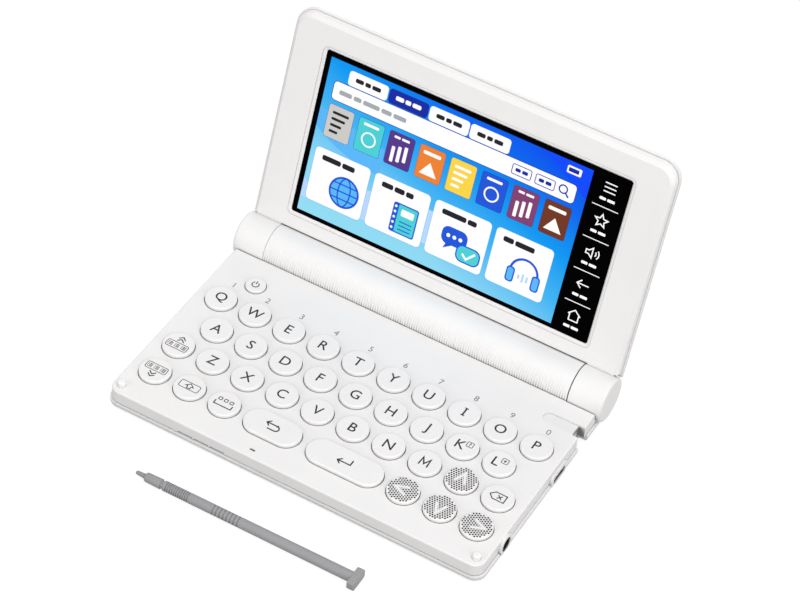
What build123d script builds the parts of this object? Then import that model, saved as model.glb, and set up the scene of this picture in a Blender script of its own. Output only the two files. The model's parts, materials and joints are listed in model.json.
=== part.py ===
from build123d import *
from math import cos, radians, sin, sqrt
import os

# An electronic dictionary, open on a table, with its stylus lying in front of it.
# Millimetres. The origin is on the table under the middle of the object. +X is to the user's
# right, +Y is towards the hinge, +Z is up.

os.makedirs("parts", exist_ok=True)

# ---------------------------------------------------------------- driving dimensions

# Heights of the base, from the table up
FOOT_HEIGHT = 0.6
UNDERSIDE_Z = FOOT_HEIGHT
FLOOR_Z = 1.8            # inner face of the bottom tray
LOWER_TOP_Z = 3.05       # top of the tray's rim
UPPER_BOTTOM_Z = 3.35    # lower edge of the wall above it; the groove between shows as a line
DECK_UNDERSIDE_Z = 7.0
DECK_Z = 8.3
KEY_TOP_Z = 9.7
BUMPER_TOP_Z = 10.1

# Plan of the base
WALL_HALF_WIDTH = 72.5   # the upper case's wall
TRAY_HALF_WIDTH = 73.2   # the tray stands slightly proud of it
WALL_FRONT_Y = -49.15
TRAY_FRONT_Y = -49.45
CASE_REAR_Y = 35.8
FRONT_CORNER_R = 4.0
WALL = 1.4
DECK_EDGE_R = 0.6
TRAY_EDGE_R = 0.8
TONGUE = 0.8             # rim of the tray that stands inside the upper wall
TRAY_LINE_Z, TRAY_LINE_WIDTH, TRAY_LINE_DEPTH = 1.75, 0.2, 0.15    # fine line round the tray's wall
TONGUE_TOP_Z = 4.4
TONGUE_REAR_Y = 30.4
HOLLOW_REAR_Y = 30.6
FIT_GAP = 0.15
THROUGH = 5.0            # a cut that opens through a face runs this far past it

# Barrel hinge
HINGE_Y = 41.0
HINGE_Z = 8.7
BARREL_R = 8.4
BARREL_BORE_R = 7.5
BARREL_HALF_LENGTH = 61.2
COVER_SHIFT = 0.15       # the cover sits this far to the left, so its right seam is the wider one
KNUCKLE_INNER_X = 61.5
KNUCKLE_OUTER_X = 74.2
KNUCKLE_EDGE_R = 0.9
KNUCKLE_SEAT_R = 8.75    # the case is scooped out to this radius in front of each knuckle
COVER_SEAT_R = 8.55
PIN_R = 2.0
PIN_RUNNING_R = 2.05
PIN_HOLD_R = 2.02
PIN_INNER_X = 58.4
PIN_OUTER_X = 69.5
BULKHEAD_INNER_X = 58.1
BULKHEAD_R = 7.45
CELL_STOP_X = 53.2       # inner face of the partition at each end of the battery space
CELL_STOP = 1.0
PIN_BORE = 4.1
BELLY_FOOT_Y = (34.0, 39.5)   # flat strip that joins the barrel's underside to the tray

# Angles round the barrel, from +Y towards +Z
DOOR_FROM, DOOR_TO = -75.0, 15.0
COVER_FROM, COVER_TO = 15.0, 195.0
BELLY_FROM, BELLY_TO = 196.0, 284.0
DOOR_HALF_LENGTH = 55.0
DOOR_SEAM = 0.25
DOOR_SEAM_ANGLE = 1.7
GRIP_R = 0.22
GRIP_LENGTH = 12.0
GRIP_ANGLES = range(-42, -17, 4)

# Lid, in its own plane: X along the hinge, Y up the lid from the hinge axis, Z out of the screen
LID_TILT = 72.64         # above the horizontal, leaning back
LID_CLOSE_ANGLE = 180.0 - LID_TILT
BEZEL_FACE = -1.7
BEZEL_BACK = -4.3
COVER_FRONT = -4.55
COVER_BACK = -7.6
LID_HALF_WIDTH = 74.2
LID_TOP = 90.8
BEZEL_BOTTOM = 8.65
COVER_BOTTOM = 7.4
BEZEL_WALL = 1.4
COVER_WALL = 1.3
COVER_LIP = 0.3          # extra thickness of the cover's side walls
COVER_TOP_CORNER_R = 7.2
COVER_BOTTOM_CORNER_R = 2.0
COVER_BACK_EDGE_R = 1.9
HOLLOW_CORNER_R = 4.0
NECK_X, NECK_V = 66.9, 8.2    # the necks that carry the lid, from the knuckles up to its face
NECK_SIZE = (10.2, 4.4)
# Bezel from the back to the face: level, half width, top and corner radius
BEZEL_BANDS = (
    (BEZEL_BACK, 73.6, 90.3, 6.8),
    (BEZEL_FACE - 1.1, 73.2, 89.7, 6.4),
    (BEZEL_FACE, 72.0, 88.1, 5.4),
)

# Window and display
GLASS_HALF_WIDTH = 59.3
GLASS_BOTTOM = 15.1
GLASS_TOP = 79.2
GLASS_RECESS = 0.5
GLASS_THICKNESS = 0.9
GLASS_GAP = 0.1
GLASS_CORNER_R = 0.8
WINDOW_CHAMFER = 0.6
WINDOW_GROOVE = (1.2, 1.5)    # fine groove that frames the window, from and to outside the glass
WINDOW_GROOVE_DEPTH = 0.15
DISPLAY_MARGIN = 2.4
DISPLAY_THICKNESS = 1.6
DISPLAY_TAIL_X = -20.0
DISPLAY_TAIL = (16.0, 2.6)

# Keys
KEY_PITCH = 14.0
KEY_DIAMETER = 11.35
POWER_DIAMETER = 7.4
POWER_TOP_Z = 9.3
KEY_EDGE_R = 0.55
KEY_GAP = 0.25
KEY_TRAVEL = 0.8
CAP_BOTTOM_Z = 7.2
CAP_WALL = 1.2
CAP_POCKET = 1.2
PLUNGER_R = 1.5
PLUNGER_BOTTOM_Z = 5.6
HOOK_BOTTOM_Z = 6.1
HOOK_THICKNESS = 0.7
HOOK_WIDTH = 3.0
HOOK_REACH = 0.45        # past the cap's edge, under the deck
HOOK_LEG = 0.9
HOOK_INSET = 0.25        # the legs stand inside the cap's edge by this
JOIN = 0.1               # overlap that fuses two blocks of one piece
ROW_Y = [7.55, -6.13, -19.68, -34.30]
BACK_X, BACK_LENGTH = -15.8, 21.6
ENTER_X, ENTER_LENGTH = 12.5, 28.8
POWER_POSITION = (-56.5, 20.1)

# Inside the base
BOARD_Z = 2.4
BOARD_THICKNESS = 1.0
MEMBRANE_THICKNESS = 0.6
DOME_R = 1.8
DOME_HEIGHT = 0.7
MEMBRANE_HALF_WIDTH = 65.4
BOARD_HALF_WIDTH = 67.0
BOARD_FRONT_Y = -41.2
BOARD_REAR_Y = 18.8
BOARD_WING_X = (-67.0, -18.0)
BOARD_WING_REAR_Y = 23.9
JACK_CUTOUT = (5.0, 6.2)      # bites out of the board's edge, across and along it
PORT_CUTOUT = (2.4, 8.3)
# Chips under the board: place and size
CHIPS = (((8, -12), (14, 14)), ((-22, -16), (11, 8)), ((34, 6), (11, 8)), ((-40, 6), (18, 12)))
CHIP_CLEARANCE = 0.05
MEMBRANE_REAR_Y = 14.5
MEMBRANE_POWER_TAB = (12.0, 16.0)
MEMBRANE_POWER_TAB_Y = 16.0

# Stylus, its silo and the notch for its head
SILO_Y, SILO_Z = 22.45, 4.6
SILO_R = 2.15
SILO_INNER_X = -16.0
NOTCH_X = 70.2
NOTCH_FRONT_Y, NOTCH_REAR_Y = 19.75, 25.15
TRAY_NOTCH_REAR_Y = 26.75     # the tray's notch runs further back
NOTCH_WALL = 1.3
SILO_TUBE_HALF_WIDTH = 2.75
SILO_TUBE_BOTTOM_Z = 1.95
SILO_TUBE_CLEARANCE = 0.2
RAMP_X = 64.4            # shallow ramp in the deck beside the notch
RAMP_LENGTH, RAMP_WIDTH = 13.4, 5.4
RAMP_SLOPE = 0.15
STYLUS_Y = -70.85
STYLUS_TURN = 0.5        # degrees: it lies a little askew
STYLUS_HEAD_Z = 4.0
STYLUS_HEAD_Y = 7.9
STYLUS_HEAD_X = 2.6
STYLUS_END_X = 39.75
STYLUS_SHOULDER_X = -42.6
STYLUS_TIP_X = -46.4
GRIP_GROOVE_X = -36.2
NIB_R = 0.7
NIB_SOCKET_R = 0.72
NIB_SOCKET_DEPTH = 4.0
HEAD_CHAMFER = 0.7

# Sockets in the right wall
COLLAR_X = 73.4          # their collars stand out level with the tray
COLLAR_BOTTOM_Z = 1.2
JACK_Y, JACK_Z = -31.85, 4.2
JACK_COLLAR_R = 3.9
JACK_HOLE_R = 2.7
JACK_BORE_R = 1.8
PORT_Y, PORT_Z = 5.75, 3.2
PORT_COLLAR = (11.6, 5.2)
PORT_HOLE = (8.2, 3.1)
JACK_BODY_X, JACK_BODY_HALF = 64.9, 2.75
JACK_BODY_TOP_Z = 6.2
JACK_BORE_X, JACK_FACE_X = 65.3, 73.25
PORT_BODY_X, PORT_MOUTH_X, PORT_BACK_X = 66.0, 73.15, 67.5
PORT_BODY, PORT_INSIDE = (7.8, 2.6), (7.2, 2.0)
PORT_TONGUE = (5.2, 0.6)
PORT_TONGUE_END_X = 72.2
SOCKET_ROOM_X = 69.0
JACK_ROOM_HALF, PORT_ROOM_HALF = 3.0, 4.15

# Small things
BUMPER_POSITIONS = [(-69.2, -45.45), (69.2, -45.45)]
BUMPER_R = 1.5
BUMPER_POCKET = 0.7
BUMPER_EDGE_R = 0.7
SCREW_POSITIONS = [(-66, 27.4), (66, 27.4), (-68, -6.13), (67.5, -6.13), (-58, -44.6), (58, -44.6)]
SCREW_PAD_R = 3.2
SCREW_HEAD_R = 1.9
SCREW_SHANK_R = 0.97
SCREW_BOSS_R = 1.9
SCREW_PILOT_R, SCREW_PILOT_DEPTH = 1.0, 3.6
SCREW_HEAD_HEIGHT = 1.2
SCREW_SINK = 0.15        # the heads lie this far below the tray's underside
SCREW_SHANK_LENGTH = 4.4
CROSS_RECESS = (2.2, 0.5)
CROSS_DEPTH = 0.7
SLOT_LENGTH, SLOT_HEIGHT = 5.6, 0.6
SLOT_CENTRES_X = [-41.05, -34.75, -28.45]
SPEAKER_SIZE = (17.5, 4.8, 3.0)
SPEAKER_Y = -44.1
SPEAKER_MOUTH = (14.0, 2.0, 0.4)
SPEAKER_ROOM_X = (-44.6, -25.0)
SPEAKER_ROOM_REAR_Y = -46.0
MIC_POSITION = (-16.5, -45.9)
MIC_SLOT = (2.2, 0.8)
MIC_R, MIC_HEIGHT = 1.75, 1.45
MIC_PORT_R, MIC_PORT_DEPTH = 0.35, 0.4
ROUND_FOOT_R = 4.0
ROUND_FEET = [(-66, -41), (66, -41)]
BAR_FOOT = (16.0, 3.6)
BAR_FEET = [(-46, 36.6), (46, 36.6)]
FOOT_POCKET = 0.4
CELL_R = 7.15
CELL_LENGTH = 50.5
CELL_NUB_R, CELL_NUB = 2.7, 1.2
CONTACT_PLATE = (9.0, 1.0, 0.4)    # side, corner radius and thickness
SPRING_PITCH, SPRING_HEIGHT, SPRING_R, SPRING_WIRE_R = 1.25, 3.9, 3.4, 0.28

BARREL_PLANE = Plane(origin=(0, HINGE_Y, HINGE_Z), x_dir=(0, 1, 0), z_dir=(1, 0, 0))
LID_PLANE = Plane(
    origin=(0, HINGE_Y, HINGE_Z),
    x_dir=(1, 0, 0),
    z_dir=(0, -sin(radians(LID_TILT)), cos(radians(LID_TILT))),
)


def key_layout():
    """Name, x, y, length, diameter and top height of every key cap."""
    def columns(first, names, row):
        return [(name, (first + i - 4.5) * KEY_PITCH, ROW_Y[row]) for i, name in enumerate(names)]

    round_keys = columns(0, "qwertyuiop", 0) + columns(0.5, "asdfghjkl", 1)
    round_keys += columns(0, ["prev", *"zxcvbnm", "up", "delete"], 2)
    round_keys += columns(0, ["next", "shift", "space"], 3) + columns(7, ["left", "down", "right"], 3)
    keys = [(name, x, y, KEY_DIAMETER, KEY_DIAMETER, KEY_TOP_Z) for name, x, y in round_keys]
    keys.append(("back", BACK_X, ROW_Y[3], BACK_LENGTH, KEY_DIAMETER, KEY_TOP_Z))
    keys.append(("enter", ENTER_X, ROW_Y[3], ENTER_LENGTH, KEY_DIAMETER, KEY_TOP_Z))
    keys.append(("power", *POWER_POSITION, POWER_DIAMETER, POWER_DIAMETER, POWER_TOP_Z))
    return keys


KEYS = key_layout()


def save(builder, name):
    """Label a finished piece and write it."""
    builder.part.label = name
    export_step(builder.part, f"parts/{name}.step")


def plane_at(x, y, z):
    """A horizontal plane with its origin at a point."""
    return Plane(origin=(x, y, z), z_dir=(0, 0, 1))


def side_plane(x, y, z):
    """A plane that faces +X: its X runs along the row's Y, and its Y along the row's Z."""
    return Plane(origin=(x, y, z), x_dir=(0, 1, 0), z_dir=(1, 0, 0))


def key_outline(length, diameter):
    """A key's plan: a circle, or a slot where the key is wide."""
    if length > diameter:
        SlotOverall(length, diameter)
    else:
        Circle(diameter / 2)


def case_outline(half_width, front_y, rear_y, corner_r):
    """The base's plan: a rectangle with its two front corners rounded."""
    with Locations((0, (front_y + rear_y) / 2)):
        outline = Rectangle(2 * half_width, rear_y - front_y)
    fillet(outline.vertices().group_by(Axis.Y)[0], corner_r)


def sector(inner_r, outer_r, from_angle, to_angle):
    """An arc of a ring round the sketch's origin."""
    middle = (from_angle + to_angle) / 2
    reach = 3 * outer_r
    corners = [(reach * cos(radians(a)), reach * sin(radians(a))) for a in (from_angle, middle, to_angle)]
    Circle(outer_r)
    Circle(inner_r, mode=Mode.SUBTRACT)
    Polygon((0, 0), *corners, align=None, mode=Mode.INTERSECT)


def barrel_sector(inner_r, outer_r, from_angle, to_angle, from_x, to_x):
    """Extrude an arc of the barrel's shell along the hinge."""
    with BuildSketch(BARREL_PLANE.offset(from_x)) as arc:
        sector(inner_r, outer_r, from_angle, to_angle)
    extrude(arc.sketch, amount=to_x - from_x)


def barrel_disc(radius, from_x, to_x, mode=Mode.ADD):
    """A disc or a bore on the hinge's axis."""
    with BuildSketch(BARREL_PLANE.offset(from_x)) as disc:
        Circle(radius)
    extrude(disc.sketch, amount=to_x - from_x, mode=mode)


def hinge_clearance():
    """Scoop the case out for the barrel in the middle and for the two knuckles at the ends."""
    reach = TRAY_HALF_WIDTH + 2
    barrel_disc(COVER_SEAT_R, -reach, reach, Mode.SUBTRACT)
    for from_x in (-reach, BARREL_HALF_LENGTH + 0.1):
        barrel_disc(KNUCKLE_SEAT_R, from_x, from_x + reach - BARREL_HALF_LENGTH - 0.1, Mode.SUBTRACT)


def collar_outlines(grow, bottom_z, from_x, to_x, mode):
    """The two socket collars on the right wall, cut off flat near the underside."""
    with BuildSketch(side_plane(from_x, 0, 0)) as collars:
        with Locations((JACK_Y, JACK_Z)):
            Circle(JACK_COLLAR_R + grow)
        with Locations((PORT_Y, PORT_Z + 0.5)):
            RectangleRounded(PORT_COLLAR[0] + 2 * grow, PORT_COLLAR[1] + 2 * grow, 2.3 + grow)
        with Locations((0, bottom_z)):
            Rectangle(200, 20, align=(Align.CENTER, Align.MAX), mode=Mode.SUBTRACT)
    extrude(collars.sketch, amount=to_x - from_x, mode=mode)


def block(low, high, mode=Mode.ADD):
    """A box between two corners."""
    with Locations(((low[0] + high[0]) / 2, (low[1] + high[1]) / 2, (low[2] + high[2]) / 2)):
        Box(high[0] - low[0], high[1] - low[1], high[2] - low[2], mode=mode)


# ---------------------------------------------------------------- upper case

with BuildPart() as upper_case:
    with BuildSketch(Plane.XY.offset(UPPER_BOTTOM_Z)):
        case_outline(WALL_HALF_WIDTH, WALL_FRONT_Y, CASE_REAR_Y, FRONT_CORNER_R)
    extrude(amount=DECK_Z - UPPER_BOTTOM_Z)
    rim = upper_case.edges().group_by(Axis.Z)[-1]
    fillet(rim.filter_by(lambda e: e.center().Y < CASE_REAR_Y - 1), DECK_EDGE_R)
    with BuildSketch(Plane.XY.offset(UPPER_BOTTOM_Z)):
        case_outline(WALL_HALF_WIDTH - WALL, WALL_FRONT_Y + WALL, HOLLOW_REAR_Y, FRONT_CORNER_R - WALL)
    extrude(amount=DECK_UNDERSIDE_Z - UPPER_BOTTOM_Z, mode=Mode.SUBTRACT)

    # Silo tube for the stylus, and the thicker corner that its notch is cut from
    block(
        (SILO_INNER_X - 1, SILO_Y - SILO_TUBE_HALF_WIDTH, SILO_TUBE_BOTTOM_Z),
        (NOTCH_X, SILO_Y + SILO_TUBE_HALF_WIDTH, DECK_UNDERSIDE_Z),
    )
    block(
        (NOTCH_X - NOTCH_WALL, NOTCH_FRONT_Y - NOTCH_WALL, UPPER_BOTTOM_Z),
        (WALL_HALF_WIDTH, NOTCH_REAR_Y + NOTCH_WALL, DECK_UNDERSIDE_Z),
    )
    with BuildSketch(side_plane(SILO_INNER_X, SILO_Y, SILO_Z)):
        Circle(SILO_R)
    extrude(amount=NOTCH_X - SILO_INNER_X + THROUGH, mode=Mode.SUBTRACT)
    block((NOTCH_X, NOTCH_FRONT_Y, 0), (NOTCH_X + THROUGH, NOTCH_REAR_Y, DECK_Z + THROUGH), Mode.SUBTRACT)

    # Screw bosses under the deck
    with BuildSketch(Plane.XY.offset(LOWER_TOP_Z)):
        with Locations(*SCREW_POSITIONS):
            Circle(SCREW_BOSS_R)
    extrude(amount=DECK_UNDERSIDE_Z - LOWER_TOP_Z)
    with BuildSketch(Plane.XY.offset(LOWER_TOP_Z)):
        with Locations(*SCREW_POSITIONS):
            Circle(SCREW_PILOT_R)
    extrude(amount=SCREW_PILOT_DEPTH, mode=Mode.SUBTRACT)

    # Socket collars and their holes
    collar_outlines(0, COLLAR_BOTTOM_Z, WALL_HALF_WIDTH - WALL, COLLAR_X, Mode.ADD)
    with BuildSketch(side_plane(WALL_HALF_WIDTH - 2 * WALL, 0, 0)):
        with Locations((JACK_Y, JACK_Z)):
            Circle(JACK_HOLE_R)
        with Locations((PORT_Y, PORT_Z)):
            RectangleRounded(*PORT_HOLE, 0.9)
    extrude(amount=THROUGH, mode=Mode.SUBTRACT)

    # Sound slots in the front wall, the microphone's slot and the pockets of the bumpers
    for slot_x in SLOT_CENTRES_X:
        block(
            (slot_x - SLOT_LENGTH / 2, WALL_FRONT_Y - THROUGH, UPPER_BOTTOM_Z - THROUGH),
            (slot_x + SLOT_LENGTH / 2, WALL_FRONT_Y + WALL + JOIN, UPPER_BOTTOM_Z + SLOT_HEIGHT),
            Mode.SUBTRACT,
        )
    with BuildSketch(plane_at(*MIC_POSITION, DECK_UNDERSIDE_Z)):
        SlotOverall(*MIC_SLOT)
    extrude(amount=THROUGH, mode=Mode.SUBTRACT)
    with BuildSketch(Plane.XY.offset(DECK_Z - BUMPER_POCKET)):
        with Locations(*BUMPER_POSITIONS):
            Circle(BUMPER_R + 0.05)
    extrude(amount=THROUGH, mode=Mode.SUBTRACT)

    # Shallow ramp in the deck, where a finger reaches the stylus's head
    ramp = Plane(
        origin=(RAMP_X, NOTCH_FRONT_Y + 0.1, DECK_Z + 0.02),
        x_dir=(1, 0, 0),
        z_dir=(0, RAMP_SLOPE, 1),
    )
    with BuildSketch(ramp):
        with Locations((0, RAMP_WIDTH / 2)):
            SlotOverall(RAMP_LENGTH, RAMP_WIDTH)
            Rectangle(4 * THROUGH, RAMP_WIDTH, align=(Align.MIN, Align.CENTER))
    extrude(amount=THROUGH, mode=Mode.SUBTRACT)

    # Key holes
    for _, key_x, key_y, length, diameter, _ in KEYS:
        with BuildSketch(plane_at(key_x, key_y, DECK_UNDERSIDE_Z - JOIN)):
            key_outline(length + 2 * KEY_GAP, diameter + 2 * KEY_GAP)
        extrude(amount=THROUGH, mode=Mode.SUBTRACT)

    hinge_clearance()
save(upper_case, "upper_case")

# ---------------------------------------------------------------- lower case

with BuildPart() as lower_case:
    with BuildSketch(Plane.XY.offset(UNDERSIDE_Z)):
        case_outline(TRAY_HALF_WIDTH, TRAY_FRONT_Y, CASE_REAR_Y, FRONT_CORNER_R + 0.5)
    extrude(amount=LOWER_TOP_Z - UNDERSIDE_Z)
    tray_edge = lower_case.edges().group_by(Axis.Z)[0]
    fillet(tray_edge.filter_by(lambda e: e.center().Y < CASE_REAR_Y - 1), TRAY_EDGE_R)
    for grow, mode in ((JOIN, Mode.SUBTRACT), (-TRAY_LINE_DEPTH, Mode.ADD)):
        with BuildSketch(Plane.XY.offset(TRAY_LINE_Z)):
            case_outline(
                TRAY_HALF_WIDTH + grow, TRAY_FRONT_Y - grow, CASE_REAR_Y, FRONT_CORNER_R + 0.5 + grow
            )
        extrude(amount=TRAY_LINE_WIDTH, mode=mode)

    # Tongue inside the upper wall, then the hollow inside both
    inner_half_width = WALL_HALF_WIDTH - WALL - FIT_GAP
    inner_front_y = WALL_FRONT_Y + WALL + FIT_GAP
    with BuildSketch(Plane.XY.offset(LOWER_TOP_Z)):
        case_outline(inner_half_width, inner_front_y, TONGUE_REAR_Y, FRONT_CORNER_R - WALL - FIT_GAP)
    extrude(amount=TONGUE_TOP_Z - LOWER_TOP_Z)
    with BuildSketch(Plane.XY.offset(FLOOR_Z)):
        case_outline(
            inner_half_width - TONGUE,
            inner_front_y + TONGUE,
            TONGUE_REAR_Y - TONGUE,
            FRONT_CORNER_R - WALL - FIT_GAP - TONGUE,
        )
    extrude(amount=THROUGH, mode=Mode.SUBTRACT)

    # Screw pads, with the screw heads let in from below
    with BuildSketch(Plane.XY.offset(UNDERSIDE_Z)):
        with Locations(*SCREW_POSITIONS):
            Circle(SCREW_PAD_R)
    extrude(amount=LOWER_TOP_Z - UNDERSIDE_Z)
    with Locations(*[(x, y, UNDERSIDE_Z) for x, y in SCREW_POSITIONS]):
        for hole_r, depth in (
            (SCREW_HEAD_R + 0.2, SCREW_SINK + SCREW_HEAD_HEIGHT + 0.05), (SCREW_SHANK_R + 0.15, THROUGH)
        ):
            Cylinder(hole_r, depth, align=(Align.CENTER, Align.CENTER, Align.MIN), mode=Mode.SUBTRACT)

    # Corner that the stylus's notch is cut from, cleared where the upper case's silo stands
    tube_room = SILO_TUBE_HALF_WIDTH + SILO_TUBE_CLEARANCE
    notch_room = NOTCH_WALL + SILO_TUBE_CLEARANCE
    block(
        (NOTCH_X - NOTCH_WALL, NOTCH_FRONT_Y - NOTCH_WALL, UNDERSIDE_Z),
        (TRAY_HALF_WIDTH - TRAY_EDGE_R, TRAY_NOTCH_REAR_Y + NOTCH_WALL, LOWER_TOP_Z),
    )
    block(
        (SILO_INNER_X - 1 - SILO_TUBE_CLEARANCE, SILO_Y - tube_room, FLOOR_Z),
        (NOTCH_X + SILO_TUBE_CLEARANCE, SILO_Y + tube_room, TONGUE_TOP_Z + THROUGH),
        Mode.SUBTRACT,
    )
    block(
        (NOTCH_X - notch_room, NOTCH_FRONT_Y - notch_room, LOWER_TOP_Z),
        (TRAY_HALF_WIDTH + THROUGH, NOTCH_REAR_Y + notch_room, TONGUE_TOP_Z + THROUGH),
        Mode.SUBTRACT,
    )
    block(
        (NOTCH_X, NOTCH_FRONT_Y, 0),
        (NOTCH_X + THROUGH, TRAY_NOTCH_REAR_Y, TONGUE_TOP_Z + THROUGH),
        Mode.SUBTRACT,
    )

    # Room for the socket collars, the sockets behind them, and the sound slots
    collar_outlines(
        FIT_GAP,
        COLLAR_BOTTOM_Z - FIT_GAP,
        WALL_HALF_WIDTH - WALL - 2 * FIT_GAP,
        COLLAR_X + THROUGH,
        Mode.SUBTRACT,
    )
    for socket_y, room_half in ((JACK_Y, JACK_ROOM_HALF), (PORT_Y, PORT_ROOM_HALF)):
        block(
            (SOCKET_ROOM_X, socket_y - room_half, FLOOR_Z),
            (WALL_HALF_WIDTH - WALL, socket_y + room_half, TONGUE_TOP_Z + THROUGH),
            Mode.SUBTRACT,
        )
    block(
        (SPEAKER_ROOM_X[0], WALL_FRONT_Y + WALL, LOWER_TOP_Z),
        (SPEAKER_ROOM_X[1], SPEAKER_ROOM_REAR_Y, TONGUE_TOP_Z + THROUGH),
        Mode.SUBTRACT,
    )

    hinge_clearance()

    # Underside of the barrel, its end bulkheads and the stops of the battery space
    barrel_sector(BARREL_BORE_R, BARREL_R, BELLY_FROM, BELLY_TO, -BARREL_HALF_LENGTH, BARREL_HALF_LENGTH)
    block(
        (-BARREL_HALF_LENGTH, BELLY_FOOT_Y[0], UNDERSIDE_Z), (BARREL_HALF_LENGTH, BELLY_FOOT_Y[1], FLOOR_Z)
    )
    for side in (-1, 1):
        end_x = side * BARREL_HALF_LENGTH
        door_x = side * (DOOR_HALF_LENGTH + DOOR_SEAM)
        low_x, high_x = sorted((door_x, end_x))
        barrel_sector(BARREL_BORE_R, BARREL_R, BELLY_TO - 361, DOOR_TO - 1, low_x, high_x)
    barrel_disc(BARREL_BORE_R, -BARREL_HALF_LENGTH, BARREL_HALF_LENGTH, Mode.SUBTRACT)
    for low_x, high_x in (
        (BULKHEAD_INNER_X, BARREL_HALF_LENGTH),
        (-BARREL_HALF_LENGTH, -BULKHEAD_INNER_X),
        (CELL_STOP_X, CELL_STOP_X + CELL_STOP),
        (-CELL_STOP_X - CELL_STOP, -CELL_STOP_X),
    ):
        barrel_disc(BULKHEAD_R, low_x, high_x)
        barrel_sector(BULKHEAD_R - 0.5, BARREL_R - 0.3, BELLY_FROM, BELLY_TO, low_x, high_x)
    for low_x in (BULKHEAD_INNER_X - 0.5, -BARREL_HALF_LENGTH - 0.5):
        barrel_disc(PIN_RUNNING_R, low_x, low_x + PIN_BORE, Mode.SUBTRACT)

    # Pockets of the feet
    with BuildSketch(Plane.XY.offset(UNDERSIDE_Z)):
        with Locations(*ROUND_FEET):
            Circle(ROUND_FOOT_R + 0.1)
        with Locations(*BAR_FEET):
            RectangleRounded(BAR_FOOT[0] + 0.2, BAR_FOOT[1] + 0.2, 1.1)
    extrude(amount=FOOT_POCKET, mode=Mode.SUBTRACT)
save(lower_case, "lower_case")

# ---------------------------------------------------------------- barrel shells

with BuildPart() as barrel_cover:
    cover_ends = -BARREL_HALF_LENGTH - COVER_SHIFT, BARREL_HALF_LENGTH - COVER_SHIFT
    barrel_sector(BARREL_BORE_R, BARREL_R, COVER_FROM, COVER_TO, *cover_ends)
save(barrel_cover, "barrel_cover")

with BuildPart() as battery_door:
    barrel_sector(
        BARREL_BORE_R + 0.1,
        BARREL_R,
        DOOR_FROM + DOOR_SEAM_ANGLE,
        DOOR_TO - DOOR_SEAM_ANGLE,
        -DOOR_HALF_LENGTH,
        DOOR_HALF_LENGTH,
    )
    # Grip lines across the middle of the door
    for grip_angle in GRIP_ANGLES:
        grip = BARREL_PLANE.rotated((0, 0, grip_angle))
        with BuildSketch(grip.offset(-GRIP_LENGTH / 2)):
            with Locations((BARREL_R, 0)):
                Circle(GRIP_R)
        extrude(amount=GRIP_LENGTH, mode=Mode.SUBTRACT)
save(battery_door, "battery_door")

# ---------------------------------------------------------------- keys

for name, key_x, key_y, length, diameter, top_z in KEYS:
    radius = diameter / 2
    with BuildPart() as key:
        with BuildSketch(plane_at(key_x, key_y, CAP_BOTTOM_Z)):
            key_outline(length, diameter)
        extrude(amount=top_z - CAP_BOTTOM_Z)
        fillet(key.edges().group_by(Axis.Z)[-1], KEY_EDGE_R)
        with BuildSketch(plane_at(key_x, key_y, CAP_BOTTOM_Z)):
            key_outline(length - 2 * CAP_WALL, diameter - 2 * CAP_WALL)
            Circle(PLUNGER_R, mode=Mode.SUBTRACT)
        extrude(amount=CAP_POCKET, mode=Mode.SUBTRACT)
        with BuildSketch(plane_at(key_x, key_y, PLUNGER_BOTTOM_Z)):
            Circle(PLUNGER_R)
        extrude(amount=CAP_BOTTOM_Z - PLUNGER_BOTTOM_Z + JOIN)
        # Two legs with hooks that hold the cap under the deck, front and rear
        hook_width = HOOK_WIDTH if length == diameter else 2 * HOOK_WIDTH
        leg_outer = radius - HOOK_INSET
        hook_outer = radius + HOOK_REACH
        for side in (-1, 1):
            for outer, low_z, high_z in (
                (leg_outer, HOOK_BOTTOM_Z, CAP_BOTTOM_Z + JOIN),
                (hook_outer, HOOK_BOTTOM_Z, HOOK_BOTTOM_Z + HOOK_THICKNESS),
            ):
                near_y = key_y + side * (leg_outer - HOOK_LEG)
                far_y = key_y + side * outer
                low_y, high_y = sorted((near_y, far_y))
                block((key_x - hook_width / 2, low_y, low_z), (key_x + hook_width / 2, high_y, high_z))
    save(key, f"key_{name}")

# ---------------------------------------------------------------- inside the base

with BuildPart() as main_board:
    with BuildSketch(Plane.XY.offset(BOARD_Z)):
        with Locations((0, BOARD_REAR_Y)):
            Rectangle(2 * BOARD_HALF_WIDTH, BOARD_REAR_Y - BOARD_FRONT_Y, align=(Align.CENTER, Align.MAX))
        with Locations((BOARD_WING_X[0], BOARD_WING_REAR_Y)):
            Rectangle(
                BOARD_WING_X[1] - BOARD_WING_X[0], BOARD_WING_REAR_Y - ROW_Y[0], align=(Align.MIN, Align.MAX)
            )
        with Locations(*SCREW_POSITIONS[2:]):
            Circle(SCREW_PAD_R + 0.3, mode=Mode.SUBTRACT)
        for socket_y, cutout in ((JACK_Y, JACK_CUTOUT), (PORT_Y, PORT_CUTOUT)):
            with Locations((BOARD_HALF_WIDTH, socket_y)):
                Rectangle(*cutout, mode=Mode.SUBTRACT)
    extrude(amount=BOARD_THICKNESS)
    # Chips on the underside
    with BuildSketch(Plane.XY.offset(FLOOR_Z + CHIP_CLEARANCE)):
        for place, size in CHIPS:
            with Locations(place):
                Rectangle(*size)
    extrude(amount=BOARD_Z - FLOOR_Z)
save(main_board, "main_board")

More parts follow.
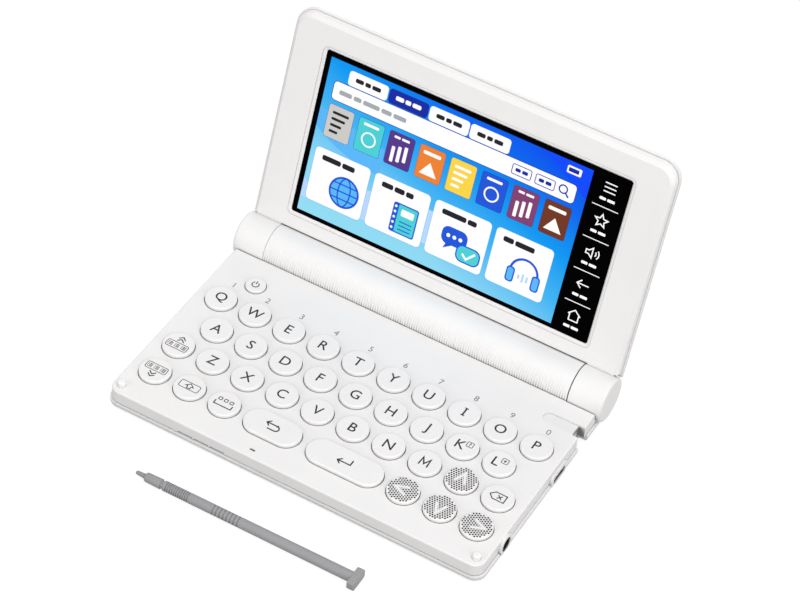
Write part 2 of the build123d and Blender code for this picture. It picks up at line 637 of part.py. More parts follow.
MEMBRANE_Z = BOARD_Z + BOARD_THICKNESS
with BuildPart() as key_membrane:
    with BuildSketch(Plane.XY.offset(MEMBRANE_Z)):
        with Locations((0, MEMBRANE_REAR_Y)):
            Rectangle(
                2 * MEMBRANE_HALF_WIDTH, MEMBRANE_REAR_Y - BOARD_FRONT_Y, align=(Align.CENTER, Align.MAX)
            )
        with Locations((POWER_POSITION[0], MEMBRANE_POWER_TAB_Y)):
            Rectangle(*MEMBRANE_POWER_TAB)
        with Locations(*SCREW_POSITIONS[2:]):
            Circle(SCREW_BOSS_R + 0.6, mode=Mode.SUBTRACT)
        with Locations((BOARD_HALF_WIDTH, JACK_Y)):
            Rectangle(*JACK_CUTOUT, mode=Mode.SUBTRACT)
    extrude(amount=MEMBRANE_THICKNESS)
    with BuildSketch(Plane.XY.offset(MEMBRANE_Z + MEMBRANE_THICKNESS)):
        with Locations(*[(x, y) for _, x, y, _, _, _ in KEYS]):
            Circle(DOME_R)
    extrude(amount=DOME_HEIGHT, taper=35)
save(key_membrane, "key_membrane")

with BuildPart() as headphone_jack:
    jack_shoulder_x = WALL_HALF_WIDTH - WALL - 0.1
    block(
        (JACK_BODY_X, JACK_Y - JACK_BODY_HALF, FLOOR_Z + 0.2),
        (jack_shoulder_x, JACK_Y + JACK_BODY_HALF, JACK_BODY_TOP_Z),
    )
    with BuildSketch(side_plane(jack_shoulder_x - JOIN, JACK_Y, JACK_Z)):
        Circle(JACK_HOLE_R - 0.1)
    extrude(amount=JACK_FACE_X - jack_shoulder_x + JOIN)
    with BuildSketch(side_plane(JACK_BORE_X, JACK_Y, JACK_Z)):
        Circle(JACK_BORE_R)
    extrude(amount=2 * THROUGH, mode=Mode.SUBTRACT)
save(headphone_jack, "headphone_jack")

with BuildPart() as usb_socket:
    with BuildSketch(side_plane(PORT_BODY_X, PORT_Y, PORT_Z)):
        RectangleRounded(*PORT_BODY, 0.7)
    extrude(amount=PORT_MOUTH_X - PORT_BODY_X)
    with BuildSketch(side_plane(PORT_BACK_X, PORT_Y, PORT_Z)):
        RectangleRounded(*PORT_INSIDE, 0.5)
        with Locations((0, 0.25)):
            Rectangle(*PORT_TONGUE, mode=Mode.SUBTRACT)
    extrude(amount=THROUGH, mode=Mode.SUBTRACT)
    # The contact tongue stops short of the mouth
    with BuildSketch(side_plane(PORT_TONGUE_END_X, PORT_Y, PORT_Z)):
        RectangleRounded(*PORT_INSIDE, 0.5)
    extrude(amount=THROUGH, mode=Mode.SUBTRACT)
save(usb_socket, "usb_socket")

with BuildPart() as speaker:
    length, depth, height = SPEAKER_SIZE
    speaker_x, speaker_z = SLOT_CENTRES_X[1], FLOOR_Z + 0.05
    with BuildSketch(plane_at(speaker_x, SPEAKER_Y, speaker_z)):
        RectangleRounded(length, depth, 1.2)
    extrude(amount=height)
    mouth_length, mouth_height, mouth_depth = SPEAKER_MOUTH
    front = Plane(
        origin=(speaker_x, SPEAKER_Y - depth / 2, speaker_z + height / 2), x_dir=(1, 0, 0), z_dir=(0, -1, 0)
    )
    with BuildSketch(front):
        SlotOverall(mouth_length, mouth_height)
    extrude(amount=-mouth_depth, mode=Mode.SUBTRACT)
save(speaker, "speaker")

with BuildPart() as microphone:
    mic_top_z = DECK_UNDERSIDE_Z - 0.05
    with BuildSketch(plane_at(*MIC_POSITION, mic_top_z - MIC_HEIGHT)):
        Circle(MIC_R)
    extrude(amount=MIC_HEIGHT)
    with BuildSketch(plane_at(*MIC_POSITION, mic_top_z - MIC_PORT_DEPTH)):
        Circle(MIC_PORT_R)
    extrude(amount=THROUGH, mode=Mode.SUBTRACT)
save(microphone, "microphone")

# ---------------------------------------------------------------- batteries

# Two AA cells end to end, their buttons towards +X
with BuildPart() as battery_cells:
    for cell in (0, 1):
        start_x = CELL_STOP_X - 0.45 - (cell + 1) * CELL_LENGTH
        nub_x = start_x + CELL_LENGTH - CELL_NUB
        barrel_disc(CELL_R, start_x, nub_x)
        # The second cell's button stops just short of the first cell, so the two stay apart
        barrel_disc(CELL_NUB_R, nub_x, nub_x + CELL_NUB - 0.02 * cell)
save(battery_cells, "battery_cells")

with BuildPart() as battery_contacts:
    plate_side, plate_corner_r, plate_thickness = CONTACT_PLATE
    for plate_x in (CELL_STOP_X - plate_thickness, -CELL_STOP_X):
        with BuildSketch(BARREL_PLANE.offset(plate_x)):
            RectangleRounded(plate_side, plate_side, plate_corner_r)
        extrude(amount=plate_thickness)
    # Coil spring on the second plate
    with BuildLine() as coil:
        Helix(
            pitch=SPRING_PITCH,
            height=SPRING_HEIGHT,
            radius=SPRING_R,
            center=(-CELL_STOP_X + plate_thickness + 0.2, HINGE_Y, HINGE_Z),
            direction=(1, 0, 0),
        )
    with BuildSketch(Plane(origin=coil.line @ 0, z_dir=coil.line % 0)):
        Circle(SPRING_WIRE_R)
    sweep(path=coil.line, is_frenet=True)
save(battery_contacts, "battery_contacts")

# ---------------------------------------------------------------- lid

with BuildPart() as lid_bezel:
    # Front plate: a straight band at the back, then a slope to the flat face
    for lower, upper in zip(BEZEL_BANDS, BEZEL_BANDS[1:]):
        for offset, half_width, top, corner_r in (lower, upper):
            with BuildSketch(LID_PLANE.offset(offset)):
                with Locations((0, (top + BEZEL_BOTTOM) / 2)):
                    plate = Rectangle(2 * half_width, top - BEZEL_BOTTOM)
                fillet(plate.vertices().group_by(Axis.Y)[-1], corner_r)
        loft(ruled=True)
    # Hollow behind the front wall
    hollow_top, hollow_bottom = BEZEL_BANDS[-1][2], BEZEL_BOTTOM + BEZEL_WALL
    with BuildSketch(LID_PLANE.offset(BEZEL_BACK)):
        with Locations((0, (hollow_top + hollow_bottom) / 2)):
            RectangleRounded(
                2 * (BEZEL_BANDS[-1][1] - 0.4), hollow_top - hollow_bottom, HOLLOW_CORNER_R
            )
    extrude(amount=BEZEL_FACE - BEZEL_WALL - BEZEL_BACK, mode=Mode.SUBTRACT)
    # Window, with a chamfered rim
    window_height = GLASS_TOP - GLASS_BOTTOM
    window_middle = (GLASS_TOP + GLASS_BOTTOM) / 2
    for from_level, depth, flare in (
        (BEZEL_BACK, BEZEL_FACE - BEZEL_BACK, 0), (BEZEL_FACE - WINDOW_CHAMFER, WINDOW_CHAMFER, -45)
    ):
        with BuildSketch(LID_PLANE.offset(from_level)):
            with Locations((0, window_middle)):
                RectangleRounded(
                    2 * (GLASS_HALF_WIDTH + GLASS_GAP), window_height + 2 * GLASS_GAP, GLASS_CORNER_R + GLASS_GAP
                )
        extrude(amount=depth, taper=flare, mode=Mode.SUBTRACT)
    with BuildSketch(LID_PLANE.offset(BEZEL_FACE - WINDOW_GROOVE_DEPTH)):
        with Locations((0, window_middle)):
            for margin, mode in ((WINDOW_GROOVE[1], Mode.ADD), (WINDOW_GROOVE[0], Mode.SUBTRACT)):
                RectangleRounded(
                    2 * (GLASS_HALF_WIDTH + margin),
                    window_height + 2 * margin,
                    GLASS_CORNER_R + margin,
                    mode=mode,
                )
    extrude(amount=THROUGH, mode=Mode.SUBTRACT)
    # Knuckles at the ends of the barrel, and the necks that carry the lid
    for side in (-1, 1):
        low_x, high_x = sorted((side * KNUCKLE_INNER_X, side * KNUCKLE_OUTER_X))
        barrel_disc(BARREL_R, low_x, high_x)
        outer_rim = lid_bezel.edges().filter_by(GeomType.CIRCLE).sort_by(Axis.X)[-1 if side > 0 else 0]
        fillet(outer_rim, KNUCKLE_EDGE_R)
        with BuildSketch(LID_PLANE.offset(BEZEL_BACK)):
            with Locations((side * NECK_X, NECK_V)):
                Rectangle(*NECK_SIZE)
        extrude(amount=BEZEL_FACE - BEZEL_BACK)
        low_x, high_x = sorted((side * (KNUCKLE_INNER_X - 1), side * (PIN_OUTER_X + 0.2)))
        barrel_disc(PIN_HOLD_R, low_x, high_x, Mode.SUBTRACT)
save(lid_bezel, "lid_bezel")

with BuildPart() as lid_cover:
    with BuildSketch(LID_PLANE.offset(COVER_BACK)):
        with Locations((0, (LID_TOP + COVER_BOTTOM) / 2)):
            shell = Rectangle(2 * LID_HALF_WIDTH, LID_TOP - COVER_BOTTOM)
        fillet(shell.vertices().group_by(Axis.Y)[-1], COVER_TOP_CORNER_R)
        fillet(shell.vertices().group_by(Axis.Y)[0], COVER_BOTTOM_CORNER_R)
    extrude(amount=COVER_FRONT - COVER_BACK)
    back_rim = lid_cover.faces().sort_by(Axis(LID_PLANE.origin, LID_PLANE.z_dir))[0].edges()
    fillet(back_rim, COVER_BACK_EDGE_R)
    side_wall = COVER_WALL + COVER_LIP
    with BuildSketch(LID_PLANE.offset(COVER_BACK + COVER_WALL)):
        with Locations((0, (LID_TOP + COVER_BOTTOM) / 2)):
            RectangleRounded(
                2 * (LID_HALF_WIDTH - side_wall), LID_TOP - COVER_BOTTOM - 2 * side_wall, HOLLOW_CORNER_R
            )
    extrude(amount=THROUGH, mode=Mode.SUBTRACT)
save(lid_cover, "lid_cover")

with BuildPart() as touch_glass:
    with BuildSketch(LID_PLANE.offset(BEZEL_FACE - GLASS_RECESS - GLASS_THICKNESS)):
        with Locations((0, window_middle)):
            RectangleRounded(2 * GLASS_HALF_WIDTH, window_height, GLASS_CORNER_R)
    extrude(amount=GLASS_THICKNESS)
save(touch_glass, "touch_glass")

with BuildPart() as lcd_module:
    display_front = BEZEL_FACE - BEZEL_WALL - 0.05
    with BuildSketch(LID_PLANE.offset(display_front - DISPLAY_THICKNESS)):
        with Locations((0, window_middle)):
            Rectangle(2 * (GLASS_HALF_WIDTH + DISPLAY_MARGIN), window_height + 2 * DISPLAY_MARGIN)
        # Flat tail of the display, at the lid's lower edge
        with Locations((DISPLAY_TAIL_X, GLASS_BOTTOM - DISPLAY_MARGIN)):
            Rectangle(*DISPLAY_TAIL)
    extrude(amount=DISPLAY_THICKNESS)
save(lcd_module, "lcd_module")

with BuildPart() as hinge_pins:
    for side in (-1, 1):
        low_x, high_x = sorted((side * PIN_INNER_X, side * PIN_OUTER_X))
        barrel_disc(PIN_R, low_x, high_x)
save(hinge_pins, "hinge_pins")

# ---------------------------------------------------------------- small parts

with BuildPart() as deck_bumpers:
    bumper_bottom_z = DECK_Z - BUMPER_POCKET + 0.05
    with BuildSketch(Plane.XY.offset(bumper_bottom_z)):
        with Locations(*BUMPER_POSITIONS):
            Circle(BUMPER_R)
    extrude(amount=BUMPER_TOP_Z - bumper_bottom_z)
    fillet(deck_bumpers.edges().group_by(Axis.Z)[-1], BUMPER_EDGE_R)
save(deck_bumpers, "deck_bumpers")

with BuildPart() as feet:
    with BuildSketch(Plane.XY):
        with Locations(*ROUND_FEET):
            Circle(ROUND_FOOT_R)
        with Locations(*BAR_FEET):
            RectangleRounded(*BAR_FOOT, 1)
    extrude(amount=FOOT_HEIGHT + FOOT_POCKET)
save(feet, "feet")

with BuildPart() as case_screws:
    head_z = UNDERSIDE_Z + SCREW_SINK
    with BuildSketch(Plane.XY.offset(head_z)):
        with Locations(*SCREW_POSITIONS):
            Circle(SCREW_HEAD_R)
    extrude(amount=SCREW_HEAD_HEIGHT)
    with BuildSketch(Plane.XY.offset(head_z + SCREW_HEAD_HEIGHT - JOIN)):
        with Locations(*SCREW_POSITIONS):
            Circle(SCREW_SHANK_R)
    extrude(amount=SCREW_SHANK_LENGTH)
    # Cross recess in each head
    with BuildSketch(Plane.XY.offset(head_z)):
        with Locations(*SCREW_POSITIONS):
            Rectangle(*CROSS_RECESS)
            Rectangle(*CROSS_RECESS, rotation=90)
    extrude(amount=CROSS_DEPTH, mode=Mode.SUBTRACT)
save(case_screws, "case_screws")

# ---------------------------------------------------------------- stylus

# Drawn along X with the tip's place as origin, then turned about the tip
STYLUS_LENGTH = STYLUS_END_X - STYLUS_TIP_X
SHOULDER = STYLUS_SHOULDER_X - STYLUS_TIP_X
GROOVE = GRIP_GROOVE_X - STYLUS_TIP_X
HEAD_START = STYLUS_LENGTH - STYLUS_HEAD_X
STYLUS_PLACE = Plane(
    origin=(STYLUS_TIP_X, STYLUS_Y, STYLUS_HEAD_Z / 2),
    x_dir=(cos(radians(STYLUS_TURN)), sin(radians(STYLUS_TURN)), 0),
    z_dir=(sin(radians(STYLUS_TURN)), -cos(radians(STYLUS_TURN)), 0),
)
STYLUS_AXIS = Axis(STYLUS_PLACE.origin, STYLUS_PLACE.x_dir)


def across_stylus(distance):
    """A plane that faces along the stylus, at a distance from its tip."""
    return Plane(
        origin=STYLUS_PLACE.origin + STYLUS_PLACE.x_dir * distance,
        x_dir=-STYLUS_PLACE.z_dir,
        z_dir=STYLUS_PLACE.x_dir,
    )


with BuildPart() as stylus_body:
    with BuildSketch(STYLUS_PLACE):
        with BuildLine():
            Polyline(
                (SHOULDER, 0),
                (SHOULDER, 1.35),
                (SHOULDER + 0.5, 1.72),
                (GROOVE, 1.82),
                (GROOVE + 0.15, 1.4),
                (GROOVE + 0.85, 1.4),
                (GROOVE + 1.0, 1.82),
                (HEAD_START + JOIN, 1.97),
                (HEAD_START + JOIN, 0),
                close=True,
            )
        make_face()
    revolve(axis=STYLUS_AXIS)
    # T-shaped head, which fills the notch in the case when the stylus is stored
    with BuildSketch(across_stylus(HEAD_START)):
        head = Rectangle(STYLUS_HEAD_Y, STYLUS_HEAD_Z)
        chamfer(head.vertices(), HEAD_CHAMFER)
    extrude(amount=STYLUS_HEAD_X)
    with BuildSketch(across_stylus(SHOULDER)):
        Circle(NIB_SOCKET_R)
    extrude(amount=NIB_SOCKET_DEPTH, mode=Mode.SUBTRACT)
save(stylus_body, "stylus_body")

with BuildPart() as stylus_nib:
    nib_end = SHOULDER + NIB_SOCKET_DEPTH - 0.2
    with BuildSketch(STYLUS_PLACE):
        with BuildLine():
            Polyline(
                (0.6, NIB_R),
                (SHOULDER - 0.05, 0.9),
                (SHOULDER - 0.05, NIB_R),
                (nib_end, NIB_R),
                (nib_end, 0),
                (0, 0),
            )
            RadiusArc((0, 0), (0.6, NIB_R), 0.72)
        make_face()
    revolve(axis=STYLUS_AXIS)
save(stylus_nib, "stylus_nib")
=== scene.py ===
import json
from math import ceil, cos, hypot, pi, radians, sin, sqrt
from random import Random

import bmesh
import bpy
from mathutils import Matrix, Vector


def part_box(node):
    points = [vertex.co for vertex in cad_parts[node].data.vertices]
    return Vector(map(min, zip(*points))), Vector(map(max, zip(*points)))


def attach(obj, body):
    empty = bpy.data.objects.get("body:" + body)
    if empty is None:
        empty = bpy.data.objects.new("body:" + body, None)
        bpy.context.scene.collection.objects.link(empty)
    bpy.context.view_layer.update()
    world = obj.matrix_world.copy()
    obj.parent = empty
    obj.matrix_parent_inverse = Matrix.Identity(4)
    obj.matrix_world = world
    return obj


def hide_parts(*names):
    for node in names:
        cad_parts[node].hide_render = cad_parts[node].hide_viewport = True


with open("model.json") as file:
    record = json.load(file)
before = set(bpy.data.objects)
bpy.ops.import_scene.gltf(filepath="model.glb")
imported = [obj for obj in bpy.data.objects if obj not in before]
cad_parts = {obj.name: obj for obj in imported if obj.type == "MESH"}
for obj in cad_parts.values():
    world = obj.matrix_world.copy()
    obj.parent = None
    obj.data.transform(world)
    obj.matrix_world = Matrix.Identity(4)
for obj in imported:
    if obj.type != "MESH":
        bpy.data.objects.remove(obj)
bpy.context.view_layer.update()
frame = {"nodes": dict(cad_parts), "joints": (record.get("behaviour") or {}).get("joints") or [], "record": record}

# The looks of an open electronic dictionary. Metres, in the frame's own axes.

nodes = frame["nodes"]
MM = 0.001


# ---------------------------------------------------------------- places taken from the frame

lid_joint = next(j for j in frame["joints"] if j["name"] == "lid_hinge")
HINGE = Vector(lid_joint["pos_m"])
LID_TILT = radians(180.0 - lid_joint["range_deg"][1])
LID = Matrix.Translation(HINGE) @ Matrix.Rotation(LID_TILT, 4, "X")
# Front of the glass, in the lid's own axes: across, up the lid, out of the screen
GLASS_Z = max((LID.inverted() @ v.co).z for v in nodes["touch_glass"].data.vertices)
DECK_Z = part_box("upper_case")[1].z
# The stylus's notch in the base's right wall: its back and its mouth, and its two sides
NOTCH_X = (70.0 * MM, 72.6 * MM)
NOTCH_Y = (19.7 * MM, 25.2 * MM)


# ---------------------------------------------------------------- colours (linear)

WARM_WHITE = (0.800, 0.789, 0.783)
TRAY_WHITE = (0.850, 0.841, 0.837)
LEGEND_GREY = (0.026, 0.026, 0.028)
DIGIT_GREY = (0.20, 0.20, 0.20)
HOLE_SHADE_GREY = (0.010, 0.010, 0.011)
# near-black of the arrow keys' dots: painted shade for small holes
STYLUS_GREY = (0.318, 0.312, 0.325)
SCREEN_BLACK = (0.0011, 0.0011, 0.0014)

FINE_EDGE = 0.05 * MM        # how far the render rounds the edges of small and hard pieces

# Painted shade: how the plastics' colour is darkened where little light comes. Openness runs from 0 in a
# shut corner to 1 on a free surface. Tones are shares of the open surface's.
SHUT = 0.08                  # openness at and below which a place has its darkest tone
SEAM_REACH = 0.5 * MM        # how far a seam's test looks
SEAM_OPEN = 0.72             # openness from which a seam leaves the colour alone
HOLLOW_REACH = 3.5 * MM
HOLLOW_OPEN = 0.60
HOLLOW_DARK = 0.45
NOTCHED = ("case_white", "tray_white")       # finishes of the two pieces that the notch is cut in
NOTCH_DARK = 0.28
NOTCH_BACK_SHARE = 0.75      # how much of the notch's painted shade its back has at the height of the deck
NOTCH_SHADE_X = 2.2 * MM     # distance behind the mouth at which the tone is full
NOTCH_SHADE_Z = (0.5 * MM, 4.0 * MM)         # depths below the deck between which the tone grows
NOTCH_EDGE_Z = (0.05 * MM, 0.25 * MM)        # depths below the deck between which the tone sets in


# ---------------------------------------------------------------- materials

class Nodes:
    """A material's node tree, with short calls for what every finish here needs."""

    def __init__(self, name):
        self.material = bpy.data.materials.new(name)
        self.material.use_nodes = True
        self.tree = self.material.node_tree
        self.shader = self.tree.nodes["Principled BSDF"]
        self.coords = self.add("ShaderNodeTexCoord").outputs["Object"]

    def add(self, kind, **values):
        node = self.tree.nodes.new(kind)
        for key, value in values.items():
            setattr(node, key, value)
        return node

    def link(self, source, target):
        self.tree.links.new(source, target)

    def put(self, value, socket):
        """Give a socket another node's output, or a plain value."""
        if isinstance(value, bpy.types.NodeSocket):
            self.link(value, socket)
        else:
            socket.default_value = value

    def feed(self, name, value):
        """Give one of the shader's inputs its source or value."""
        self.put(value, self.shader.inputs[name])

    def noise(self, scale, detail=3.0):
        """Noise over the object, scale in features per metre."""
        node = self.add("ShaderNodeTexNoise")
        self.link(self.coords, node.inputs["Vector"])
        node.inputs["Scale"].default_value = scale
        node.inputs["Detail"].default_value = detail
        return node.outputs["Fac"]

    def ramp(self, source, stops):
        """A colour ramp: stops are (position, colour)."""
        node = self.add("ShaderNodeValToRGB")
        self.link(source, node.inputs["Fac"])
        elements = node.color_ramp.elements
        while len(elements) < len(stops):
            elements.new(0.5)
        for element, (position, colour) in zip(elements, stops):
            element.position = position
            element.color = (*colour, 1.0)
        return node.outputs["Color"]

    def mapped(self, source, low, high, start=0.0, end=1.0):
        """source, from start..end to low..high, and held at both ends."""
        node = self.add("ShaderNodeMapRange")
        self.link(source, node.inputs["Value"])
        for socket, value in (("From Min", start), ("From Max", end), ("To Min", low), ("To Max", high)):
            node.inputs[socket].default_value = value
        return node.outputs["Result"]

    def bump(self, height, distance, strength, normal):
        """Normals tilted by a height, on top of other normals."""
        node = self.add("ShaderNodeBump")
        self.link(height, node.inputs["Height"])
        node.inputs["Distance"].default_value = distance
        node.inputs["Strength"].default_value = strength
        self.link(normal, node.inputs["Normal"])
        return node.outputs["Normal"]

    def crevice_shade(self, reach, darkest, open_from):
        """Painted shade: a factor, 1 where the surface is open, down to darkest in gaps and corners no wider than
        reach.
        """
        node = self.add("ShaderNodeAmbientOcclusion", samples=6)
        node.inputs["Distance"].default_value = reach
        return self.mapped(node.outputs["AO"], darkest, 1.0, SHUT, open_from)

    def shade_seams_and_hollows(self, colour, seam_shade):
        """A colour with painted shade: a fine dark line in seams and a soft tone in wider hollows."""
        colour = self.scaled(colour, self.crevice_shade(SEAM_REACH, seam_shade, SEAM_OPEN))
        return self.scaled(colour, self.crevice_shade(HOLLOW_REACH, HOLLOW_DARK, HOLLOW_OPEN))

    def math(self, operation, first, second):
        """A sum, product or the like of two sockets or numbers."""
        node = self.add("ShaderNodeMath", operation=operation)
        self.put(first, node.inputs[0])
        self.put(second, node.inputs[1])
        return node.outputs[0]

    def product(self, *factors):
        """Several sockets or numbers multiplied."""
        result = factors[0]
        for factor in factors[1:]:
            result = self.math("MULTIPLY", result, factor)
        return result

    def axes(self, source):
        """The X, Y and Z sockets of a vector."""
        parts = self.add("ShaderNodeSeparateXYZ")
        self.link(source, parts.inputs["Vector"])
        return parts.outputs

    def notch_shade(self, colour):
        """A colour with painted shade inside the stylus's notch, where little light comes."""
        x, y, z = self.axes(self.coords)
        (back, mouth), (near, far) = NOTCH_X, NOTCH_Y
        off_middle = self.math("ABSOLUTE", self.math("SUBTRACT", y, (near + far) / 2), 0)
        between = self.math("LESS_THAN", off_middle, (far - near) / 2)
        outside_back = self.math("GREATER_THAN", x, back)
        below = self.mapped(z, 0.0, 1.0, *(DECK_Z - depth for depth in NOTCH_EDGE_Z))
        inward = self.mapped(x, 0.0, NOTCH_BACK_SHARE, mouth, mouth - NOTCH_SHADE_X)
        down = self.mapped(z, 0.0, 1.0, *(DECK_Z - depth for depth in NOTCH_SHADE_Z))
        deep = self.math("MINIMUM", self.math("ADD", inward, down), 1)
        share = self.product(between, outside_back, below, deep, 1 - NOTCH_DARK)
        return self.scaled(colour, self.math("SUBTRACT", 1, share))

    def scaled(self, colour, factor):
        """A colour made darker by a factor socket."""
        node = self.add("ShaderNodeVectorMath", operation="SCALE")
        self.link(colour, node.inputs[0])
        self.link(factor, node.inputs["Scale"])
        return node.outputs["Vector"]

    def bevel(self, radius):
        """Normals that round an edge off."""
        node = self.add("ShaderNodeBevel", samples=4)
        node.inputs["Radius"].default_value = radius
        return node.outputs["Normal"]


def shaded(colour, factor):
    """A colour made darker or lighter."""
    return tuple(channel * factor for channel in colour)


def moulded_plastic(
    name, colour, roughness, grain=0.5, edge=0.12 * MM, variation=0.02, seam_shade=0.10, specular=0.3
):
    """Satin moulded plastic: spark-eroded grain, a little unevenness in tone and gloss, softened edges,
    and painted shade in seams and hollows.
    """
    m = Nodes(name)
    m.feed("IOR", 1.46)
    m.feed("Specular IOR Level", specular)
    tone = m.ramp(m.noise(60.0, 2.0), [(0.3, shaded(colour, 1.0 - variation)), (0.7, colour)])
    # painted shade in seams, grooves and hollows
    tone = m.shade_seams_and_hollows(tone, seam_shade)
    # painted shade inside the stylus's notch
    if name in NOTCHED:
        tone = m.notch_shade(tone)
    m.feed("Base Color", tone)
    m.feed("Roughness", m.mapped(m.noise(240.0, 4.0), roughness - 0.05, roughness + 0.05))
    m.feed("Normal", m.bump(m.noise(9000.0, 2.0), 0.004 * MM, grain, m.bevel(edge)))
    return m.material


def cover_glass(name):
    """Black-backed cover glass with a low-reflection coat and a faint smear of gloss."""
    m = Nodes(name)
    smear = m.noise(45.0, 3.0)
    m.feed("Base Color", m.ramp(smear, [(0.3, shaded(SCREEN_BLACK, 0.9)), (0.7, shaded(SCREEN_BLACK, 1.1))]))
    m.feed("Roughness", m.mapped(smear, 0.09, 0.14))
    m.feed("Specular IOR Level", 0.0)
    m.feed("Normal", m.bevel(FINE_EDGE))
    return m.material


def print_ink(name, colour):
    """Screen-printed ink: matt, with a slightly uneven density."""
    m = Nodes(name)
    m.feed("Specular IOR Level", 0.3)
    density = m.noise(2500.0, 2.0)
    m.feed("Base Color", m.ramp(density, [(0.25, shaded(colour, 0.9)), (0.75, shaded(colour, 1.06))]))
    m.feed("Roughness", m.mapped(density, 0.45, 0.55))
    return m.material


def display_light(name, colour):
    """A lit part of the display behind the glass: mostly its own light, with the glass's gloss over it."""
    m = Nodes(name)
    pixels = m.noise(5200.0, 0.0)
    m.feed("Emission Color", m.ramp(pixels, [(0.3, shaded(colour, 0.985)), (0.7, colour)]))
    m.feed("Emission Strength", 0.75)
    m.feed("Base Color", m.ramp(pixels, [(0.3, shaded(colour, 0.24)), (0.7, shaded(colour, 0.25))]))
    m.feed("Roughness", 0.35)
    m.feed("Specular IOR Level", 0.1)
    return m.material


def brushed_metal(name, colour, roughness, stretch=(1.0, 1.0, 1.0)):
    """Metal with fine drawn lines along one axis."""
    m = Nodes(name)
    mapping = m.add("ShaderNodeMapping")
    mapping.inputs["Scale"].default_value = stretch
    m.link(m.coords, mapping.inputs["Vector"])
    m.coords = mapping.outputs["Vector"]
    m.feed("Metallic", 1.0)
    lines = m.noise(3000.0)
    m.feed("Base Color", m.ramp(lines, [(0.2, shaded(colour, 0.82)), (0.8, colour)]))
    m.feed("Roughness", m.mapped(lines, roughness - 0.08, roughness + 0.1))
    m.feed("Normal", m.bump(lines, 0.003 * MM, 0.4, m.bevel(FINE_EDGE)))
    return m.material


def soft_rubber(name, colour, roughness=0.7):
    """Moulded rubber: matt, fine pebbled grain, a slightly uneven, dusty tone."""
    m = Nodes(name)
    m.feed("Specular IOR Level", 0.3)
    dusty = m.ramp(m.noise(900.0, 4.0), [(0.3, shaded(colour, 0.9)), (0.7, colour)])
    m.feed("Base Color", dusty)
    m.feed("Roughness", m.mapped(m.noise(1500.0), roughness - 0.08, roughness + 0.08))
    m.feed("Normal", m.bump(m.noise(6000.0, 2.0), 0.006 * MM, 0.6, m.bevel(0.15 * MM)))
    return m.material


def circuit_board(name):
    """Green solder mask with a faint trace pattern."""
    m = Nodes(name)
    cells = m.add("ShaderNodeTexVoronoi", feature="DISTANCE_TO_EDGE", distance="MANHATTAN")
    m.link(m.coords, cells.inputs["Vector"])
    cells.inputs["Scale"].default_value = 420.0
    traces = m.ramp(cells.outputs["Distance"], [(0.05, (0.02, 0.12, 0.05)), (0.12, (0.01, 0.07, 0.03))])
    m.feed("Base Color", traces)
    m.feed("Roughness", m.mapped(m.noise(700.0), 0.3, 0.45))
    return m.material


MATERIALS = {
    "case_white": moulded_plastic("case_white", WARM_WHITE, 0.42),
    "tray_white": moulded_plastic("tray_white", TRAY_WHITE, 0.42),
    "lid_white": moulded_plastic("lid_white", WARM_WHITE, 0.38, seam_shade=0.75),
    "key_white": moulded_plastic("key_white", WARM_WHITE, 0.40, edge=FINE_EDGE),
    "arrow_key": moulded_plastic("arrow_key", WARM_WHITE, 0.40, edge=FINE_EDGE),
    "window": cover_glass("window"),
    "display": moulded_plastic("display", (0.02, 0.02, 0.025), 0.3, grain=0.1),
    "board": circuit_board("board"),
    "membrane": soft_rubber("membrane", (0.55, 0.55, 0.54)),
    "rubber": soft_rubber("rubber", (0.86, 0.85, 0.84), 0.45),
    "rubber_feet": soft_rubber("rubber_feet", (0.34, 0.34, 0.34), 0.8),
    "steel": brushed_metal("steel", (0.5, 0.5, 0.51), 0.35),
    "pin_steel": brushed_metal("pin_steel", (0.5, 0.5, 0.51), 0.3, (0.1, 1.0, 1.0)),
    "spring_steel": brushed_metal("spring_steel", (0.6, 0.6, 0.62), 0.25),
    "cell_can": brushed_metal("cell_can", (0.65, 0.65, 0.67), 0.3, (1.0, 0.1, 0.1)),
    "socket_black": soft_rubber("socket_black", (0.006, 0.006, 0.007), 0.6),
    "socket_shell": brushed_metal("socket_shell", (0.42, 0.42, 0.43), 0.35, (0.1, 1.0, 1.0)),
    "speaker_black": moulded_plastic("speaker_black", (0.02, 0.02, 0.022), 0.6),
    "mic_black": soft_rubber("mic_black", (0.02, 0.02, 0.02), 0.8),
    "stylus_grey": moulded_plastic(
        "stylus_grey", STYLUS_GREY, 0.38,
        grain=0.3, edge=0.15 * MM, variation=0.05, seam_shade=0.25, specular=0.15,
    ),
    "nib_grey": moulded_plastic("nib_grey", (0.27, 0.265, 0.27), 0.5, edge=FINE_EDGE),
}
SLOT_OF = {row["node"]: row["material_slot"] for row in frame["record"]["subparts"]}
INK_DARK = print_ink("ink_dark", LEGEND_GREY)
INK_DIGIT = print_ink("ink_digit", DIGIT_GREY)
# the arrow keys' dots: painted shade for small holes in their tops
HOLE_SHADE_DOTS = print_ink("hole_shade_dots", HOLE_SHADE_GREY)


def dress(obj, material):
    """Give an object one material in all its slots."""
    obj.data.materials.clear()
    obj.data.materials.append(material)


for node_name, node in nodes.items():
    dress(node, MATERIALS[SLOT_OF[node_name]])


# ---------------------------------------------------------------- outlines in a plane (metres)

def arc(cx, cy, r, start, end, steps):
    """Points on an arc, angles in degrees."""
    angles = [radians(start + (end - start) * i / steps) for i in range(steps + 1)]
    return [(cx + r * cos(a), cy + r * sin(a)) for a in angles]


def circle(cx, cy, r, steps=24):
    return arc(cx, cy, r, 0, 360, steps)[:-1]


def rounded(cx, cy, width, height, r, steps=6):
    """A rectangle with round corners, anticlockwise."""
    dx, dy = width / 2 - r, height / 2 - r
    corners = ((dx, dy, 0), (-dx, dy, 90), (-dx, -dy, 180), (dx, -dy, 270))
    return [p for x, y, start in corners for p in arc(cx + x, cy + y, r, start, start + 90, steps)]


def moved(points, dx, dy):
    return [(x + dx, y + dy) for x, y in points]


